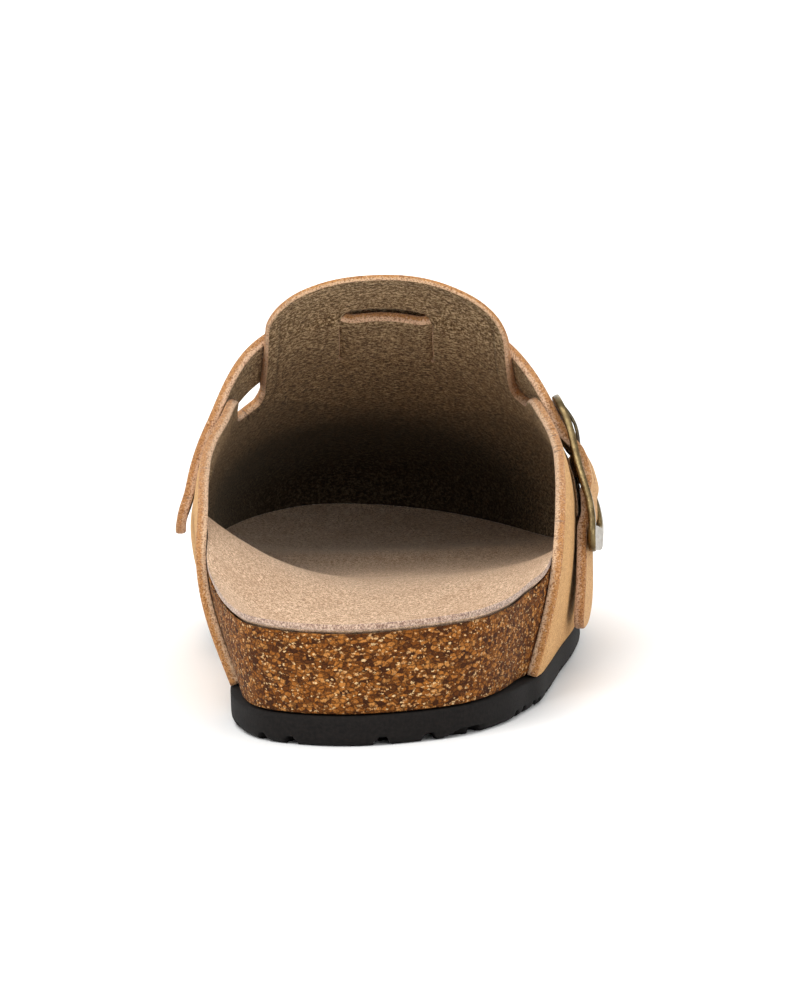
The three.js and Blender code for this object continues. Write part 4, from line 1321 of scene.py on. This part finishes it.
def make_insole():
    place = ALL_STATIONS
    full = np.ones(place.y.shape)
    shares = np.linspace(0, 1, 34) ** 0.8
    rings = [floor_point(place, full * share, INSOLE_THICKNESS) for share in shares[::3]]
    edge = []
    # The edge swells where it is open behind and lies clear of the leather further on
    free = 1 - 0.85 * smooth(0.14, 0.19, place.y / SOLE_LENGTH)
    for share, out in EDGE_PROFILE:
        point = floor_point(place, full, INSOLE_THICKNESS * (1 - share))
        swell = free * (out * 0.8 + 0.18 * value_noise(point, 0.8))
        point[:, :2] += place.direction * swell[:, None]
        edge.append(point)
    rings += edge
    for share in shares[::-1]:
        point = floor_point(place, full * share, 0)
        point[:, 2] += 0.18 * value_noise(point, 11) + 0.08 * value_noise(point, 4)
        point[:, 2] -= 0.25 * smooth(0.985, 1, share)
        rings.append(point)
    points, faces = ring_skin(rings)
    faces = outward(points, faces)
    normal = np.cross(points[faces[:, 1]] - points[faces[:, 0]], points[faces[:, 2]] - points[faces[:, 0]])
    flatness = normal[:, 2] / np.maximum(np.linalg.norm(normal, axis=1), 1e-9)
    key = {tuple(np.round(p, 4)) for ring in edge for p in ring}
    touches = np.array([any(tuple(np.round(points[v], 4)) in key for v in face) for face in faces.tolist()])
    kinds = np.where(touches & (flatness < 0.75), 1, 0)
    # Painted shade on the insole, growing towards the toe where the upper hides it from the light
    shade = smooth(150, 225, points[:, 1])
    insole = make_piece("suede_insole", points, faces, (insole_top, insole_rim), kinds, shade=shade)
    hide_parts("insole")


# Gaps between the lugs at the heel's edge: place on the outline, and the way inward
EDGE_GAPS = (
    (2.8, 1.5, -0.1, 1.0), (13.5, 5.6, -0.35, 0.94), (24.5, 14.0, -0.7, 0.72), (35.2, 38.5, -0.97, 0.25),
    (39.0, 50.0, -1.0, 0.1), (41.8, 68.0, -1.0, 0.0), (44.6, 92.0, -1.0, 0.0), (-25.0, 12.1, 0.75, 0.66),
    (-18.5, 6.0, 0.5, 0.87),
)
EDGE_GAP_WIDTH = 3.2
EDGE_GAP_REACH = 7


def edge_gap_height(x, y):
    total = np.zeros(np.shape(x))
    for px, py, dx, dy in EDGE_GAPS:
        inward = (x - px) * dx + (y - py) * dy
        aside = np.abs((x - px) * dy - (y - py) * dx)
        half = EDGE_GAP_WIDTH / 2
        gap = 1 - smooth(half - 0.6, half + 0.4, aside)
        gap = gap * (1 - smooth(EDGE_GAP_REACH - 1, EDGE_GAP_REACH, inward))
        total = np.maximum(total, gap * smooth(-6, -5, inward))
    return TREAD_DEPTH * total


def groove_height(x, y):
    """Height of the outsole's underside over its plan: 0 on the lugs and the tread's depth between."""
    first = TREAD_PITCH * 0.8
    count = int((SOLE_LENGTH - TREAD_PITCH / 2 - first) / TREAD_PITCH) + 1
    wave = y - TREAD_WAVE * np.sin(2 * math.pi * x / TREAD_WAVELENGTH)
    index = np.clip(np.round((wave - first) / TREAD_PITCH), 0, count - 1)
    distance = np.abs(wave - first - index * TREAD_PITCH)
    half = TREAD_GROOVE / 2
    waved = TREAD_DEPTH * (1 - smooth(half - 0.5, half + 0.4, distance))
    return np.maximum(waved, edge_gap_height(x, y))


def make_outsole():
    place = round_stations(240, 150, 130)
    rings = []
    for share in np.linspace(0, 0.99, 64):
        point = place.at((place.length - OUTSOLE_EDGE) * share, 0.0)
        point[:, 2] = groove_height(point[:, 0], point[:, 1])
        rings.append(point)
    for turn in np.radians(np.linspace(0, 90, 6)):
        out = OUTSOLE_EDGE * (math.sin(turn) - 1)
        point = place.at(place.length + out, 0.0)
        groove = groove_height(point[:, 0], point[:, 1])
        point[:, 2] = np.maximum(OUTSOLE_EDGE * (1 - math.cos(turn)), groove)
        rings.append(point)
    for z in (2.9, 4.2, 5.6, 6.7):
        rings.append(place.at(place.length, z))
    rings.append(place.at(place.length - 0.3, SOLE_THICKNESS))
    for share in (0.9, 0.5, 0.0):
        rings.append(place.at(place.length * share, SOLE_THICKNESS))
    rings = [np.concatenate([r[:, :2], (r[:, 2] + spring(r[:, 1]))[:, None]], 1) for r in rings]
    points, faces = ring_skin(rings)
    outsole = make_piece("rubber_outsole", points, outward(points, faces), (rubber,))
    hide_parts("outsole")


def make_stage():
    """Pale paper that lies flat under the shoe and sweeps up far behind it."""
    half, flat, bend, wall = 6.0, 2.6, 1.5, 3.0
    turn = np.radians(np.linspace(0, 90, 25))
    profile = [(-6.0, 0.0), *((flat + bend * math.sin(t), bend * (1 - math.cos(t))) for t in turn)]
    profile.append((flat + bend, bend + wall))
    points = [(x, y, z) for y, z in profile for x in (-half, half)]
    faces = [(2 * k, 2 * k + 1, 2 * k + 3, 2 * k + 2) for k in range(len(profile) - 1)]
    mesh = bpy.data.meshes.new("floor")
    mesh.from_pydata(points, [], faces)
    mesh.polygons.foreach_set("use_smooth", np.ones(len(faces), bool))
    floor = bpy.data.objects.new("floor", mesh)
    bpy.context.scene.collection.objects.link(floor)
    paper = Skin("floor_paper", Roughness=0.9)
    paper.paint(paper.ramp(paper.noise(120, 2, 0.5), (0.0, tone(244, 244, 243)), (1.0, tone(248, 248, 247))))
    mesh.materials.append(paper.material)


def area_light(name, place, target, size, power, colour=(1, 1, 1)):
    data = bpy.data.lights.new(name, "AREA")
    data.shape = "RECTANGLE"
    data.size, data.size_y = size
    data.energy = power
    data.color = colour
    light = bpy.data.objects.new(name, data)
    light.location = place
    light.rotation_euler = (Vector(target) - Vector(place)).to_track_quat("-Z", "Y").to_euler()
    bpy.context.scene.collection.objects.link(light)


def make_light():
    world = bpy.data.worlds.new("studio")
    bpy.context.scene.world = world
    world.use_nodes = True
    world.node_tree.nodes["Background"].inputs["Color"].default_value = (1, 1, 1, 1)
    world.node_tree.nodes["Background"].inputs["Strength"].default_value = 0.95
    area_light("key", (-0.5, -0.9, 1.3), (0, 0, 0.03), (1.0, 0.8), 14)
    area_light("front", (0.5, -1.4, 0.6), (0, 0, 0.03), (0.9, 0.7), 5)
    area_light("back", (0.2, 1.2, 1.1), (0, 0, 0.05), (1.0, 0.6), 5)
    area_light("paper", (0, 1.6, 2.2), (0, 3.6, 0.6), (3.0, 1.0), 60)
    bpy.context.scene.view_settings.view_transform = "Standard"


make_stage()
make_light()
make_outsole()
make_footbed()
make_insole()
make_upper()
make_strap()
make_buckle()
make_prong()
make_tab()
strap_stack = STRAP_THICKNESS + CLEARANCE - 0.35
tab_stack = STACK_GAP + TAB_THICKNESS + 0.2
make_rivet("strap_stud", "strap_rivet", medial_rivet_along, strap_stack, radius=3.2, height=0.5)
make_rivet("loop_stud", "tab_rivet", tab_rivet_along, tab_stack, radius=2.4, height=0.4)
